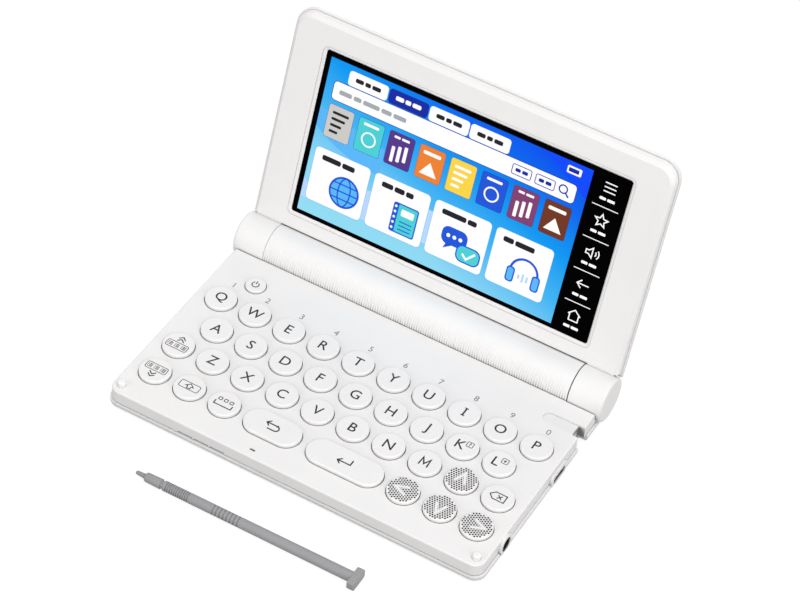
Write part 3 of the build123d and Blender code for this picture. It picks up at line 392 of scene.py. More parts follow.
def font_mesh(string, weight=0.0):
    """A flat mesh of letters in the built-in font at size 1; weight thickens their strokes."""
    curve = bpy.data.curves.new("letters", "FONT")
    curve.body = string
    curve.align_x, curve.align_y = "CENTER", "CENTER"
    curve.resolution_u = 4
    curve.offset = weight
    temp = bpy.data.objects.new("letters", curve)
    bpy.context.scene.collection.objects.link(temp)
    bpy.context.view_layer.update()
    flat = bpy.data.meshes.new_from_object(temp.evaluated_get(bpy.context.evaluated_depsgraph_get()))
    bpy.data.objects.remove(temp)
    return flat


class Print:
    """Thin closed shapes on one plane, collected into one piece."""

    def __init__(self, place, low, high):
        self.bm = bmesh.new()
        self.place, self.low, self.high = place, low, high

    def corners(self, outline, z):
        return [self.bm.verts.new(self.place @ Vector((x, y, z))) for x, y in outline]

    def fill(self, outline, lift=0.0):
        """A filled outline, which must not cross itself."""
        bottom, top = self.corners(outline, self.low), self.corners(outline, self.high + lift)
        self.bm.faces.new(top)
        self.bm.faces.new(bottom[::-1])
        for i in range(len(outline)):
            j = (i + 1) % len(outline)
            self.bm.faces.new((bottom[i], bottom[j], top[j], top[i]))

    def band(self, outer, inner, lift=0.0, closed=True):
        """The strip between two outlines with the same number of points."""
        top = self.high + lift
        loop = ((outer, self.low), (outer, top), (inner, top), (inner, self.low))
        rows = [self.corners(outline, z) for outline, z in loop]
        count = len(outer)
        for i in range(count if closed else count - 1):
            j = (i + 1) % count
            for a, b in zip(rows, rows[1:] + rows[:1]):
                self.bm.faces.new((a[i], a[j], b[j], b[i]))
        if not closed:
            self.bm.faces.new([row[0] for row in rows][::-1])
            self.bm.faces.new([row[-1] for row in rows])

    def frame(self, cx, cy, width, height, r, line, lift=0.0):
        """A round-cornered box drawn as a line."""
        self.band(
            rounded(cx, cy, width, height, r),
            rounded(cx, cy, width - 2 * line, height - 2 * line, max(r - line, r * 0.3)),
            lift,
        )

    def stroke(self, points, width, lift=0.0, closed=False):
        """A line of even width along a path, with mitred corners."""
        count = len(points)
        left, right = [], []
        for i, point in enumerate(points):
            before = Vector(points[i - 1]) if closed or i else None
            after = Vector(points[(i + 1) % count]) if closed or i < count - 1 else None
            here = Vector(point)
            into = (here - before).normalized() if before is not None else (after - here).normalized()
            out = (after - here).normalized() if after is not None else into
            middle = (into + out).normalized()
            side = Vector((-middle.y, middle.x))
            reach = width / 2 / max(0.35, side.dot(Vector((-into.y, into.x))))
            left.append(tuple(here + side * reach))
            right.append(tuple(here - side * reach))
        self.band(right, left, lift, closed)

    def text(self, string, cx, cy, height, weight=0.0):
        """Plain letters or digits, centred, with capitals of the given height."""
        flat = font_mesh(string, weight)
        xs = [v.co.x for v in flat.vertices]
        ys = [v.co.y for v in flat.vertices]
        scale = height / CAPITAL
        mid_x, mid_y = (min(xs) + max(xs)) / 2, (min(ys) + max(ys)) / 2
        letters = bmesh.new()
        letters.from_mesh(flat)
        bpy.data.meshes.remove(flat)
        bmesh.ops.remove_doubles(letters, verts=letters.verts, dist=1e-5)
        thick = (self.high - self.low) / scale
        faces = bmesh.ops.extrude_face_region(letters, geom=letters.faces[:])
        top = [v for v in faces["geom"] if isinstance(v, bmesh.types.BMVert)]
        bmesh.ops.translate(letters, verts=top, vec=(0, 0, thick))
        bmesh.ops.recalc_face_normals(letters, faces=letters.faces)
        where = Matrix.Translation((cx, cy, self.low)) @ Matrix.Scale(scale, 4)
        where = self.place @ where @ Matrix.Translation((-mid_x, -mid_y, 0))
        bmesh.ops.transform(letters, matrix=where, verts=letters.verts)
        solid = bpy.data.meshes.new("letters")
        letters.to_mesh(solid)
        letters.free()
        self.bm.from_mesh(solid)
        bpy.data.meshes.remove(solid)

    def finish(self, name, material, body):
        bmesh.ops.recalc_face_normals(self.bm, faces=self.bm.faces)
        return place_piece(name, self.bm, material, body)


def place_piece(name, bm, material, body, smooth_angle=None):
    """Make an object of a finished bmesh, dress it, and let it ride on a body."""
    mesh = bpy.data.meshes.new(name)
    bm.to_mesh(mesh)
    bm.free()
    piece = bpy.data.objects.new(name, mesh)
    bpy.context.scene.collection.objects.link(piece)
    dress(piece, material)
    if smooth_angle is not None:
        mesh.shade_smooth()
        mesh.set_sharp_from_angle(angle=radians(smooth_angle))
    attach(piece, body)
    return piece


def capital_height():
    """Height of a capital in the built-in font at size 1."""
    flat = font_mesh("H")
    ys = [v.co.y for v in flat.vertices]
    bpy.data.meshes.remove(flat)
    return max(ys) - min(ys)


CAPITAL = capital_height()


# ---------------------------------------------------------------- key legends

INK_THICKNESS = 0.02 * MM
INK_SINK = 0.02 * MM
LETTER_HEIGHT = 3.85 * MM
LETTER_WEIGHT = 0.006
DIGIT_HEIGHT = 2.4 * MM
DIGIT_Y = 16.4 * MM
LINE = 0.42 * MM             # how thick the signs' lines are
POWER_LINE = 0.38 * MM
BOX_LINE = 0.26 * MM
BAR_LINE = 0.34 * MM
ARROW_LINE = 0.5 * MM
TAG_LINE = 0.4 * MM
SERIF_LINE = 0.4 * MM
SHIFT_LINE = 0.32 * MM
SMALL_BOX_LINE = 0.24 * MM
SPACE_BOX_LINE = 0.3 * MM
M_LINE = 0.57 * MM
M_PATH = [(-1.55, -1.92), (-1.4, 1.7), (0.0, -0.95), (1.4, 1.7), (1.55, -1.92)]
LETTER_SHIFT = {"k": -0.85 * MM, "l": -1.2 * MM}       # to the left, for the sign beside the letter


def key_print(name):
    """A print on a key's top, with its origin in the middle of the cap."""
    low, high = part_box(f"key_{name}")
    place = Matrix.Translation(((low.x + high.x) / 2, (low.y + high.y) / 2, high.z))
    return Print(place, -INK_SINK, INK_THICKNESS)


def mm(points):
    """Points in mm turned into metres."""
    return [(x * MM, y * MM) for x, y in points]


def letter_key(name):
    """A letter in the middle of its cap: M as one stroke, I with a serif at each end."""
    ink = key_print(name)
    if name == "m":
        ink.stroke(mm(M_PATH), M_LINE)
        return ink
    ink.text(name.upper(), LETTER_SHIFT.get(name, 0.0), 0, LETTER_HEIGHT, LETTER_WEIGHT)
    if name == "i":
        for y in (SERIF_LINE / 2 - LETTER_HEIGHT / 2, LETTER_HEIGHT / 2 - SERIF_LINE / 2):
            ink.stroke([(-0.75 * MM, y), (0.75 * MM, y)], SERIF_LINE)
    return ink


def boxed_sign(ink, sign, x, y):
    """A small sign in a round-cornered box beside a letter."""
    ink.frame(x * MM, y * MM, 2.5 * MM, 2.5 * MM, 0.4 * MM, SMALL_BOX_LINE)
    ink.text(sign, x * MM, y * MM, 1.6 * MM, 0.02)


def chevron(ink, y, height):
    """An open V, all in mm; a negative height points it down."""
    side, tip = y - height / 2, y + height / 2
    ink.stroke(mm([(-1.3, side), (0, tip), (1.3, side)]), LINE)


def boxed_bars(ink, y):
    """A boxed row of small list signs, where a key carries a word."""
    ink.frame(0, y * MM, 8.4 * MM, 3.2 * MM, 0.8 * MM, BOX_LINE)
    for x in (-2.6, 0.0, 2.6):
        for dy in (-0.62, 0.0, 0.62):
            ink.stroke(mm([(x - 0.35, y + dy), (x + 0.85, y + dy)]), BAR_LINE)
            ink.stroke(mm([(x - 0.95, y + dy), (x - 0.62, y + dy)]), BAR_LINE)


def legend_prev():
    """A boxed list over which two chevrons point up."""
    ink = key_print("prev")
    boxed_bars(ink, -1.0)
    for y in (1.75, 2.95):
        chevron(ink, y, 1.1)
    return ink


def legend_next():
    """A boxed list under which two chevrons point down."""
    ink = key_print("next")
    boxed_bars(ink, 1.0)
    for y in (-1.75, -2.95):
        chevron(ink, y, -1.1)
    return ink


def legend_shift():
    """A hollow arrow that points up, in a box."""
    ink = key_print("shift")
    ink.frame(0, 0, 7.8 * MM, 3.4 * MM, 0.8 * MM, BOX_LINE)
    arrow = [(0, 1.15), (1.45, -0.1), (0.65, -0.1), (0.65, -1.1), (-0.65, -1.1), (-0.65, -0.1), (-1.45, -0.1)]
    ink.stroke(mm(arrow), SHIFT_LINE, closed=True)
    return ink


def legend_space():
    """An open bracket for the space bar, with a row of three boxes above."""
    ink = key_print("space")
    ink.stroke(mm([(-3.3, 0.0), (-3.3, -1.7), (3.3, -1.7), (3.3, 0.0)]), LINE)
    for x in (-2.2, 0.0, 2.2):
        ink.frame(x * MM, 1.2 * MM, 1.5 * MM, 1.5 * MM, 0.3 * MM, SPACE_BOX_LINE)
    return ink


def legend_back():
    """An arrow that turns back to the left."""
    ink = key_print("back")
    hook = [(-2.5, 0.8), (1.4, 0.8)] + arc(1.4, -0.4, 1.2, 90, -90, 10) + [(-1.4, -1.6)]
    ink.stroke(mm(hook), ARROW_LINE)
    ink.stroke(mm([(-1.35, 2.05), (-2.6, 0.8), (-1.35, -0.45)]), ARROW_LINE)
    return ink


def legend_enter():
    """An arrow that drops and runs left."""
    ink = key_print("enter")
    ink.stroke(mm([(2.4, 1.7), (2.4, -0.6), (-2.4, -0.6)]), ARROW_LINE)
    ink.stroke(mm([(-1.15, 0.65), (-2.5, -0.6), (-1.15, -1.85)]), ARROW_LINE)
    return ink


def legend_delete():
    """A tag that points left, with a cross in it."""
    ink = key_print("delete")
    ink.stroke(mm([(-3.0, 0), (-1.5, 1.6), (2.7, 1.6), (2.7, -1.6), (-1.5, -1.6)]), TAG_LINE, closed=True)
    for side in (-1, 1):
        ink.stroke(mm([(-0.2, -0.8 * side), (1.4, 0.8 * side)]), TAG_LINE)
    return ink


def legend_power():
    """The common power sign: an open ring and a bar."""
    ink = key_print("power")
    ink.stroke(mm(arc(0, -0.15, 1.25, 125, 415, 24)), POWER_LINE)
    ink.stroke(mm([(0, 0.1), (0, 1.55)]), POWER_LINE)
    return ink


LEGENDS = {
    "prev": legend_prev,
    "next": legend_next,
    "shift": legend_shift,
    "space": legend_space,
    "back": legend_back,
    "enter": legend_enter,
    "delete": legend_delete,
    "power": legend_power,
}

ARROWS = {"up": 0.0, "left": 90.0, "down": 180.0, "right": -90.0}
DOT_PITCH = 0.95 * MM
DOT_ROW = DOT_PITCH * sqrt(0.75)     # from one row of dots to the next, in a hexagonal field
DOT_R = 0.345 * MM
DOTTED_R = 5.2 * MM
CHEVRON = ((-2.05 * MM, -1.6 * MM), (0, 2.8 * MM), (2.05 * MM, -1.6 * MM))
CHEVRON_LINE = 0.95 * MM


def distance_to_path(x, y, path):
    """How far a point lies from the nearest of a path's straight pieces."""
    point = Vector((x, y))
    nearest = []
    for start, end in zip(path, path[1:]):
        start, along = Vector(start), Vector(end) - Vector(start)
        share = min(1.0, max(0.0, (point - start).dot(along) / along.dot(along)))
        nearest.append((point - start - along * share).length)
    return min(nearest)


def arrow_key(name):
    """A hexagonal field of dots, painted shade for small holes, with a bare chevron that cuts through it."""
    turn = Matrix.Rotation(radians(ARROWS[name]), 2)
    dots, bare = key_print(name), key_print(name)
    bare.stroke([tuple(turn @ Vector(p)) for p in CHEVRON], CHEVRON_LINE, INK_THICKNESS)
    rows = ceil(DOTTED_R / DOT_ROW)
    for row in range(-rows, rows + 1):
        y = row * DOT_ROW
        for column in range(-rows - 1, rows + 2):
            x = (column + 0.5 * (row % 2)) * DOT_PITCH
            if hypot(x, y) < DOTTED_R and distance_to_path(x, y, CHEVRON) > CHEVRON_LINE / 2 - DOT_R:
                dots.fill(circle(*(turn @ Vector((x, y))), DOT_R, 8))
    dots.finish(f"dots_{name}", HOLE_SHADE_DOTS, f"key_{name}")
    bare.finish(f"chevron_{name}", MATERIALS["arrow_key"], f"key_{name}")


def dress_keys():
    """A print on every key."""
    for name in "qwertyuiopasdfghjklzxcvbnm":
        ink = letter_key(name)
        if name == "k":
            boxed_sign(ink, "?", 2.0, 1.5)
        if name == "l":
            boxed_sign(ink, "*", 1.5, 1.5)
        ink.finish(f"legend_{name}", INK_DARK, f"key_{name}")
    for name, draw in LEGENDS.items():
        draw().finish(f"legend_{name}", INK_DARK, f"key_{name}")
    for name in ARROWS:
        arrow_key(name)


def deck_digits():
    """The digits that stand on the deck above the top row of keys."""
    ink = Print(Matrix.Translation((0, 0, DECK_Z)), -INK_SINK, INK_THICKNESS)
    for digit, key in zip("1234567890", "qwertyuiop"):
        low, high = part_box(f"key_{key}")
        ink.text(digit, (low.x + high.x) / 2, DIGIT_Y, DIGIT_HEIGHT)
    ink.finish("deck_digits", INK_DIGIT, "base")


dress_keys()
deck_digits()


# ---------------------------------------------------------------- barrel

RIB_PITCH = 0.93 * MM
RIB_DEPTH = 0.25 * MM
RIB_MARGIN = 0.3 * MM                # no rib starts closer to the end
RIB_STEPS = (0.45, 0.62, 0.83)       # in one pitch: the land's end, and the groove's floor from and to
RIB_FADE = (115.0, 175.0)            # degrees around the barrel over which the ribs grow to full depth
COVER_ANGLES = (15.0, 195.0)         # degrees around the barrel that its cover spans
COVER_INNER_R = 7.5 * MM
COVER_STRIPS = 36


def rib_stations(first, last):
    """Places along the barrel and how deep the groove is there, as a share of the full depth."""
    draw = Random(7)
    land, near, far = (RIB_PITCH * step for step in RIB_STEPS)
    stations = []
    x = first
    while x < last - RIB_MARGIN:
        depth = draw.uniform(0.8, 1.0)
        stations += [(x, 0.0), (x + land, 0.0), (x + near, depth), (x + far, depth)]
        x += RIB_PITCH
    return [s for s in stations if s[0] < last - 0.05 * MM] + [(last, 0.0)]


def ribbed_barrel():
    """The cover over the middle of the barrel, ringed by fine uneven ribs that fade towards its top."""
    low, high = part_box("barrel_cover")
    outer_r = HINGE.y - low.y
    start, end, fade_from, fade_to = (radians(a) for a in COVER_ANGLES + RIB_FADE)
    angles = [start + (end - start) * i / COVER_STRIPS for i in range(COVER_STRIPS + 1)]
    bm = bmesh.new()

    def row(x, radii):
        return [bm.verts.new((x, HINGE.y + r * cos(a), HINGE.z + r * sin(a))) for r, a in zip(radii, angles)]

    def join(a, b):
        for i in range(COVER_STRIPS):
            bm.faces.new((a[i], a[i + 1], b[i + 1], b[i]))

    fades = [min(1.0, max(0.0, (a - fade_from) / (fade_to - fade_from))) for a in angles]
    rows = [
        row(x, [outer_r - RIB_DEPTH * depth * fade for fade in fades])
        for x, depth in rib_stations(low.x, high.x)
    ]
    inner = [row(x, [COVER_INNER_R] * len(angles)) for x in (low.x, high.x)]
    for a, b in zip(rows, rows[1:]):
        join(a, b)
    join(rows[0], inner[0])
    join(rows[-1], inner[1])
    join(*inner)
    for i in (0, COVER_STRIPS):
        bm.faces.new([r[i] for r in rows] + [inner[1][i], inner[0][i]])
    bmesh.ops.recalc_face_normals(bm, faces=bm.faces)
    piece = place_piece("ribbed_barrel", bm, MATERIALS["case_white"], "base", 20)
    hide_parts("barrel_cover")


ribbed_barrel()


# ---------------------------------------------------------------- stylus

# All in mm from the tip, or radii in mm
STYLUS_RING_RUNS = ((12.0, 21.3, 11), (30.1, 41.1, 8))   # from, to and number of rings
STYLUS_R = (1.80, 1.94)      # at the shoulder and at the head
STYLUS_SHOULDER = ((0.0, 0.75), (0.0, 1.25), (0.15, 1.45), (0.6, 1.70))     # from its start, and radius
STYLUS_GROOVE = (10.2, 11.05)
STYLUS_GROOVE_R = 1.4
STYLUS_RING_HALF = (0.24, 0.15)          # half a ring's width, at its top and at its floor
STYLUS_RING_DEPTH = 0.24
STYLUS_SIDES = 48
STYLUS_FAR = 80.0            # only the head lies beyond this
STYLUS_HEAD = 2.6            # length of the T-shaped head
STYLUS_HEAD_CUT = 0.7        # how far its corners are cut


def stylus_frame():
    """The stylus's place: its origin at the tip, X along the shaft."""
    nib, body = nodes["stylus_nib"].data.vertices, nodes["stylus_body"].data.vertices
    tip = min((v.co for v in nib), key=lambda co: co.x)
    head = [v.co for v in body if v.co.x > tip.x + STYLUS_FAR * MM]
    far = sum(head, Vector()) / len(head)
    axis = (far - tip).normalized()
    turn = Vector((1, 0, 0)).rotation_difference(axis).to_matrix().to_4x4()
    return Matrix.Translation(tip) @ turn


def stylus_profile(start, head):
    """Distances from the tip and radii of the shaft, mm: shoulder, groove and two runs of rings."""
    def taper(x):
        return STYLUS_R[0] + (STYLUS_R[1] - STYLUS_R[0]) * (x - start) / (head - start)

    near, far = STYLUS_GROOVE
    profile = [(start + x, r) for x, r in STYLUS_SHOULDER]
    profile += [(near - 0.15, taper(near)), (near, STYLUS_GROOVE_R)]
    profile += [(far, STYLUS_GROOVE_R), (far + 0.15, taper(near))]
    top, floor = STYLUS_RING_HALF
    for first, last, count in STYLUS_RING_RUNS:
        step = (last - first) / count
        for i in range(count):
            x = first + (i + 0.5) * step
            r = taper(x)
            low = r - STYLUS_RING_DEPTH
            profile += [(x - top, r), (x - floor, low), (x + floor, low), (x + top, r)]
    return profile + [(head + 0.3, taper(head))]


def stylus():
    """The pen's shaft with its two runs of grip rings, and its T-shaped head."""
    place = stylus_frame()
    along = [(place.inverted() @ v.co) for v in nodes["stylus_body"].data.vertices]
    start, end = min(p.x for p in along), max(p.x for p in along)
    half_y, half_z = max(p.y for p in along), max(p.z for p in along)
    head = end - STYLUS_HEAD * MM
    bm = bmesh.new()
    rings = []
    for x, r in mm(stylus_profile(start / MM, head / MM)):
        rings.append([bm.verts.new((x, y, z)) for y, z in circle(0, 0, r, STYLUS_SIDES)])
    for a, b in zip(rings, rings[1:]):
        for i in range(STYLUS_SIDES):
            j = (i + 1) % STYLUS_SIDES
            bm.faces.new((a[i], a[j], b[j], b[i]))
    bm.faces.new(rings[0])
    bm.faces.new(rings[-1][::-1])
    # Head: an eight-sided bar across the shaft, with its corners cut and its edges softened
    cut = STYLUS_HEAD_CUT * MM
    outline = [
        (half_y, half_z - cut), (half_y - cut, half_z), (-half_y + cut, half_z), (-half_y, half_z - cut),
        (-half_y, -half_z + cut), (-half_y + cut, -half_z), (half_y - cut, -half_z), (half_y, -half_z + cut),
    ]
    near = [bm.verts.new((head, dy, dz)) for dy, dz in outline]
    far = [bm.verts.new((end, dy, dz)) for dy, dz in outline]
    head_faces = [bm.faces.new(near), bm.faces.new(far[::-1])]
    for i in range(len(outline)):
        j = (i + 1) % len(outline)
        head_faces.append(bm.faces.new((near[i], near[j], far[j], far[i])))
    edges = list({e for f in head_faces for e in f.edges})
    bmesh.ops.bevel(bm, geom=edges, offset=0.18 * MM, segments=3, profile=0.5, affect="EDGES")
    bmesh.ops.transform(bm, matrix=place, verts=bm.verts)
    bmesh.ops.recalc_face_normals(bm, faces=bm.faces)
    piece = place_piece("ringed_stylus", bm, MATERIALS["stylus_grey"], "stylus", 32)
    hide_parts("stylus_body")


stylus()


# ---------------------------------------------------------------- what the screen shows

# Height of one layer over the glass: 1 is the picture, 2 its bands, 4 to 6 panels, and 7 to 10 what they show
LAYER = 0.012 * MM
UI_COLOURS = {
    "white": (1.0, 1.0, 1.0),
    "navy": (0.004, 0.02, 0.36),
    "royal": (0.012, 0.09, 0.68),
    "deep": (0.001, 0.065, 0.98),
    "sky": (0.10, 0.47, 0.93),
    "pale": (0.47, 0.68, 0.97),
    "aqua": (0.07, 0.62, 0.66),
    "ink": (0.012, 0.012, 0.02),
    "grey": (0.38, 0.40, 0.44),
    "violet": (0.09, 0.035, 0.25),
    "plum": (0.22, 0.05, 0.16),
    "yellow": (0.95, 0.66, 0.06),
    "brown": (0.16, 0.035, 0.012),
    "orange": (0.85, 0.22, 0.03),
    "stone": (0.60, 0.59, 0.57),
}


class Screen:
    """Everything the display shows, one piece for each colour, in layers on the glass."""

    def __init__(self):
        self.prints = {}

    def ink(self, colour):
        if colour not in self.prints:
            place = LID @ Matrix.Translation((0, 0, GLASS_Z))
            self.prints[colour] = Print(place, 0.0, 0.0)
        return self.prints[colour]

    def fill(self, colour, layer, outline):
        self.ink(colour).fill(mm(outline), layer * LAYER)

    def stroke(self, colour, layer, points, width, closed=False):
        self.ink(colour).stroke(mm(points), width * MM, layer * LAYER, closed)

    def frame(self, colour, layer, cx, cy, width, height, r, line):
        self.ink(colour).frame(cx * MM, cy * MM, width * MM, height * MM, r * MM, line * MM, layer * LAYER)

    def panel(self, layer, cx, cy, width, height, r, colour="white", edge="navy", line=0.25):
        """A round-cornered panel with a thin edge."""
        self.fill(edge, layer, rounded(cx, cy, width + 2 * line, height + 2 * line, r + line))
        self.fill(colour, layer + 1, rounded(cx, cy, width, height, r))

    def words(self, colour, layer, x, y, lengths, height, gap=0.6):
        """A line of plain bars that stands for words, from x to the right."""
        for length in lengths:
            self.fill(colour, layer, rounded(x + length / 2, y, length, height, height * 0.3, 2))
            x += length + gap


SIGN_RISE = 1.2          # how far a touch sign stands above the middle of its field, mm
SIGN_LINE = 0.42
PICTURE = (-57.3, 16.7, 45.0, 77.3)      # left, bottom, right and top, mm in the lid's axes
PICTURE_X = (-57.0, 45.0)                # where the picture's gradient starts and ends, mm
PICTURE_Y = (17.0, 77.0)
PICTURE_LEAN = 0.6                       # how much of the gradient runs across, beside what runs up


def display_picture():
    """The lit picture behind the glass: a blue sky-like gradient with a few broad facets."""
    m = Nodes("display_picture")
    in_lid = m.add("ShaderNodeMapping", vector_type="TEXTURE")
    in_lid.inputs["Location"].default_value = HINGE
    in_lid.inputs["Rotation"].default_value = (LID_TILT, 0, 0)
    m.link(m.coords, in_lid.inputs["Vector"])
    x, y, _ = m.axes(in_lid.outputs["Vector"])
    across = m.mapped(x, 0.0, 1.0, PICTURE_X[0] * MM, PICTURE_X[1] * MM)
    up = m.mapped(y, 0.0, 1.0, PICTURE_Y[0] * MM, PICTURE_Y[1] * MM)
    lean = m.math("ADD", m.product(across, PICTURE_LEAN), up)
    colour = m.ramp(
        m.product(lean, 1 / (1 + PICTURE_LEAN)),
        [
            (0.0, (0.33, 0.80, 0.97)),
            (0.22, (0.30, 0.76, 0.97)),
            (0.45, (0.06, 0.50, 0.96)),
            (0.62, (0.004, 0.35, 0.95)),
            (0.81, (0.002, 0.15, 0.92)),
            (1.0, (0.001, 0.05, 0.92)),
        ],
    )
    m.feed("Emission Color", colour)
    m.feed("Emission Strength", 0.9)
    m.feed("Base Color", (0.004, 0.01, 0.03, 1))
    m.feed("Roughness", 0.35)
    m.feed("Specular IOR Level", 0.0)
    return m.material


def draw_screen():
    """The picture, and then everything that stands on it, one piece for each colour."""
    left, bottom, right, top = PICTURE
    base = Print(LID @ Matrix.Translation((0, 0, GLASS_Z)), 0.0, 0.0)
    base.fill(mm([(left, bottom), (right, bottom), (right, top), (left, top)]), LAYER)
    base.finish("screen_picture", display_picture(), "lid")
    ui = Screen()
    draw_backdrop(ui)
    draw_search(ui)
    draw_cards(ui)
    draw_tiles(ui)
    draw_touch_strip(ui)
    for colour, ink in ui.prints.items():
        material = display_light(f"screen_{colour}", UI_COLOURS[colour])
        ink.finish(f"screen_{colour}", material, "lid")


def draw_backdrop(ui):
    """Broad bands across the picture, and a deep blue corner."""
    left, bottom, right, top = PICTURE
    ui.fill("sky", 2, [(left, 58), (left, 50)] + arc(-30, 90, 48, 236, 270, 12) + [(-30, 52)])
    ui.fill("pale", 2, [(left, 30)] + arc(-12, -28, 66, 128, 66, 20) + [(15, 26), (left, 22)])
    ui.fill("deep", 2, [(26, top), (right, 66), (right, top)])


def draw_search(ui):
    """Four tabs, the search field below them, and two small buttons in it."""
    tab_y, tab_w, tab_h = 72.6, 15.5, 5.6
    for i, x in enumerate((-41.5, -25.5, -9.5, 6.5)):
        active = i == 1
        ui.fill("navy" if active else "white", 4, rounded(x, tab_y, tab_w, tab_h, 1.2))
        ui.words("white" if active else "ink", 5, x - 5.0, tab_y, (3.2, 2.2, 3.4), 1.6)
    field_x, field_y, field_w, field_h = -6.5, 65.9, 95.0, 7.0
    ui.panel(5, field_x, field_y, field_w, field_h, 1.4)
    lens_x = field_x + field_w / 2 - 4.2
    ui.stroke("navy", 8, circle(lens_x - 0.4, field_y + 0.4, 1.5), 0.5, closed=True)
    ui.stroke("navy", 8, [(lens_x + 0.7, field_y - 0.7), (lens_x + 2.0, field_y - 2.0)], 0.6)
    ui.words("grey", 8, field_x - field_w / 2 + 2.5, field_y, (5.0, 3.0, 6.5, 4.0, 5.0), 1.7, 0.8)
    for x in (20.5, 29.5):
        ui.frame("navy", 8, x, field_y, 7.6, 4.0, 0.8, 0.3)
        ui.words("navy", 8, x - 2.4, field_y, (2.0, 2.2), 1.3)
    # Charge sign in the corner
    ui.fill("white", 4, rounded(38.5, 74.2, 5.4, 2.8, 0.5))
    ui.fill("navy", 5, rounded(38.3, 74.2, 3.9, 1.5, 0.2, 2))


def draw_cards(ui):
    """A row of small cards in mixed colours, each with a simple pattern."""
    colours = ("stone", "aqua", "violet", "orange", "yellow", "royal", "plum", "brown")
    y, width, height = 54.2, 9.9, 12.6
    for i, colour in enumerate(colours):
        x = -49.0 + i * 12.2
        ui.panel(4, x, y, width, height, 0.8, colour, "navy", 0.12)
        bright = "ink" if colour == "stone" else "white"
        if i % 4 == 0:
            for k in range(4):
                ui.words(bright, 7, x - 3.2, y + 3.6 - 2.4 * k, (6.4 - k,), 1.0)
        elif i % 4 == 1:
            ui.stroke(bright, 7, circle(x, y - 1.0, 2.6), 0.6, closed=True)
            ui.words(bright, 7, x - 3.0, y + 4.4, (6.0,), 1.0)
        elif i % 4 == 2:
            for k in (-2.4, 0.0, 2.4):
                ui.fill(bright, 7, rounded(x + k, y - 1.4 + k * 0.3, 1.3, 6.0, 0.3, 2))
            ui.words(bright, 7, x - 3.0, y + 4.6, (2.4, 3.0), 0.9)
        else:
            ui.fill(bright, 7, [(x - 3.4, y - 4.4), (x + 3.4, y - 4.4), (x, y + 0.6)])
            ui.words(bright, 7, x - 3.4, y + 3.8, (6.8,), 1.3)


def draw_tiles(ui):
    """Four large tiles with a plain picture sign each."""
    y, width, height = 32.6, 22.2, 21.0
    centres = (-44.2, -20.0, 4.2, 28.4)
    for i, x in enumerate(centres):
        ui.panel(4, x, y, width, height, 1.6, edge="sky", line=0.15)
        lengths = ((7.5, 5.0), (4.5, 4.0, 3.0), (9.5, 3.5), (4.0, 7.5))[i]
        ui.words("ink", 7, x - 8.0, y + 7.2, lengths, 2.0)
    globe(ui, centres[0] + 3.0, y - 2.6)
    notebook(ui, centres[1] + 3.2, y - 2.8)
    quiz_bubbles(ui, centres[2] + 1.6, y - 2.6)
    headphones(ui, centres[3] + 2.4, y - 3.0)


def globe(ui, x, y):
    ui.fill("royal", 7, circle(x, y, 6.0, 40))
    ui.fill("sky", 8, circle(x, y, 5.5, 40))
    for half in (2.4, 5.5):
        ellipse = [(x + half * cos(a), y + 5.5 * sin(a)) for a in (2 * pi * k / 32 for k in range(32))]
        ui.stroke("royal", 9, ellipse, 0.5, closed=True)
    for dy in (-2.8, 0.0, 2.8):
        reach = sqrt(5.5 ** 2 - dy ** 2)
        ui.stroke("royal", 9, [(x - reach, y + dy), (x + reach, y + dy)], 0.5)


def notebook(ui, x, y):
    ui.fill("royal", 7, rounded(x, y, 10.0, 11.6, 0.9))
    ui.fill("aqua", 8, rounded(x + 0.8, y, 7.4, 10.6, 0.5))
    for k in range(5):
        ui.fill("white", 9, circle(x - 4.0, y + 4.2 - 2.1 * k, 0.5, 12))
    ui.fill("white", 9, rounded(x + 0.9, y + 2.6, 5.0, 2.6, 0.4))
    for k in range(3):
        ui.stroke("royal", 9, [(x - 1.6, y - 1.0 - 1.5 * k), (x + 3.4, y - 1.0 - 1.5 * k)], 0.4)


def quiz_bubbles(ui, x, y):
    ui.fill("royal", 7, rounded(x - 2.8, y + 1.9, 10.0, 6.8, 2.6))
    ui.fill("royal", 7, [(x - 5.4, y - 1.0), (x - 2.4, y - 1.0), (x - 6.2, y - 3.6)])
    for k in (-2.4, 0.0, 2.4):
        ui.fill("white", 8, circle(x - 2.8 + k, y + 1.9, 0.75, 14))
    bubble = rounded(x + 3.6, y - 2.6, 9.0, 6.2, 2.4)
    ui.fill("aqua", 9, bubble)
    ui.stroke("royal", 10, bubble, 0.5, closed=True)
    ui.stroke("white", 10, [(x + 1.4, y - 2.6), (x + 3.2, y - 4.2), (x + 6.2, y - 1.0)], 0.8)


def headphones(ui, x, y):
    ui.stroke("royal", 7, arc(x, y + 0.6, 5.2, 200, -20, 28), 0.9)
    for side in (-1, 1):
        ui.fill("royal", 8, rounded(x + side * 4.9, y - 1.6, 3.2, 6.0, 1.2))
        ui.fill("sky", 9, rounded(x + side * 4.9, y - 1.6, 2.2, 5.0, 0.9))
    for k, height in enumerate((1.6, 3.4, 2.4)):
        ui.fill("pale", 8, rounded(x - 1.6 + 1.6 * k, y - 1.4, 0.8, height, 0.3, 2))


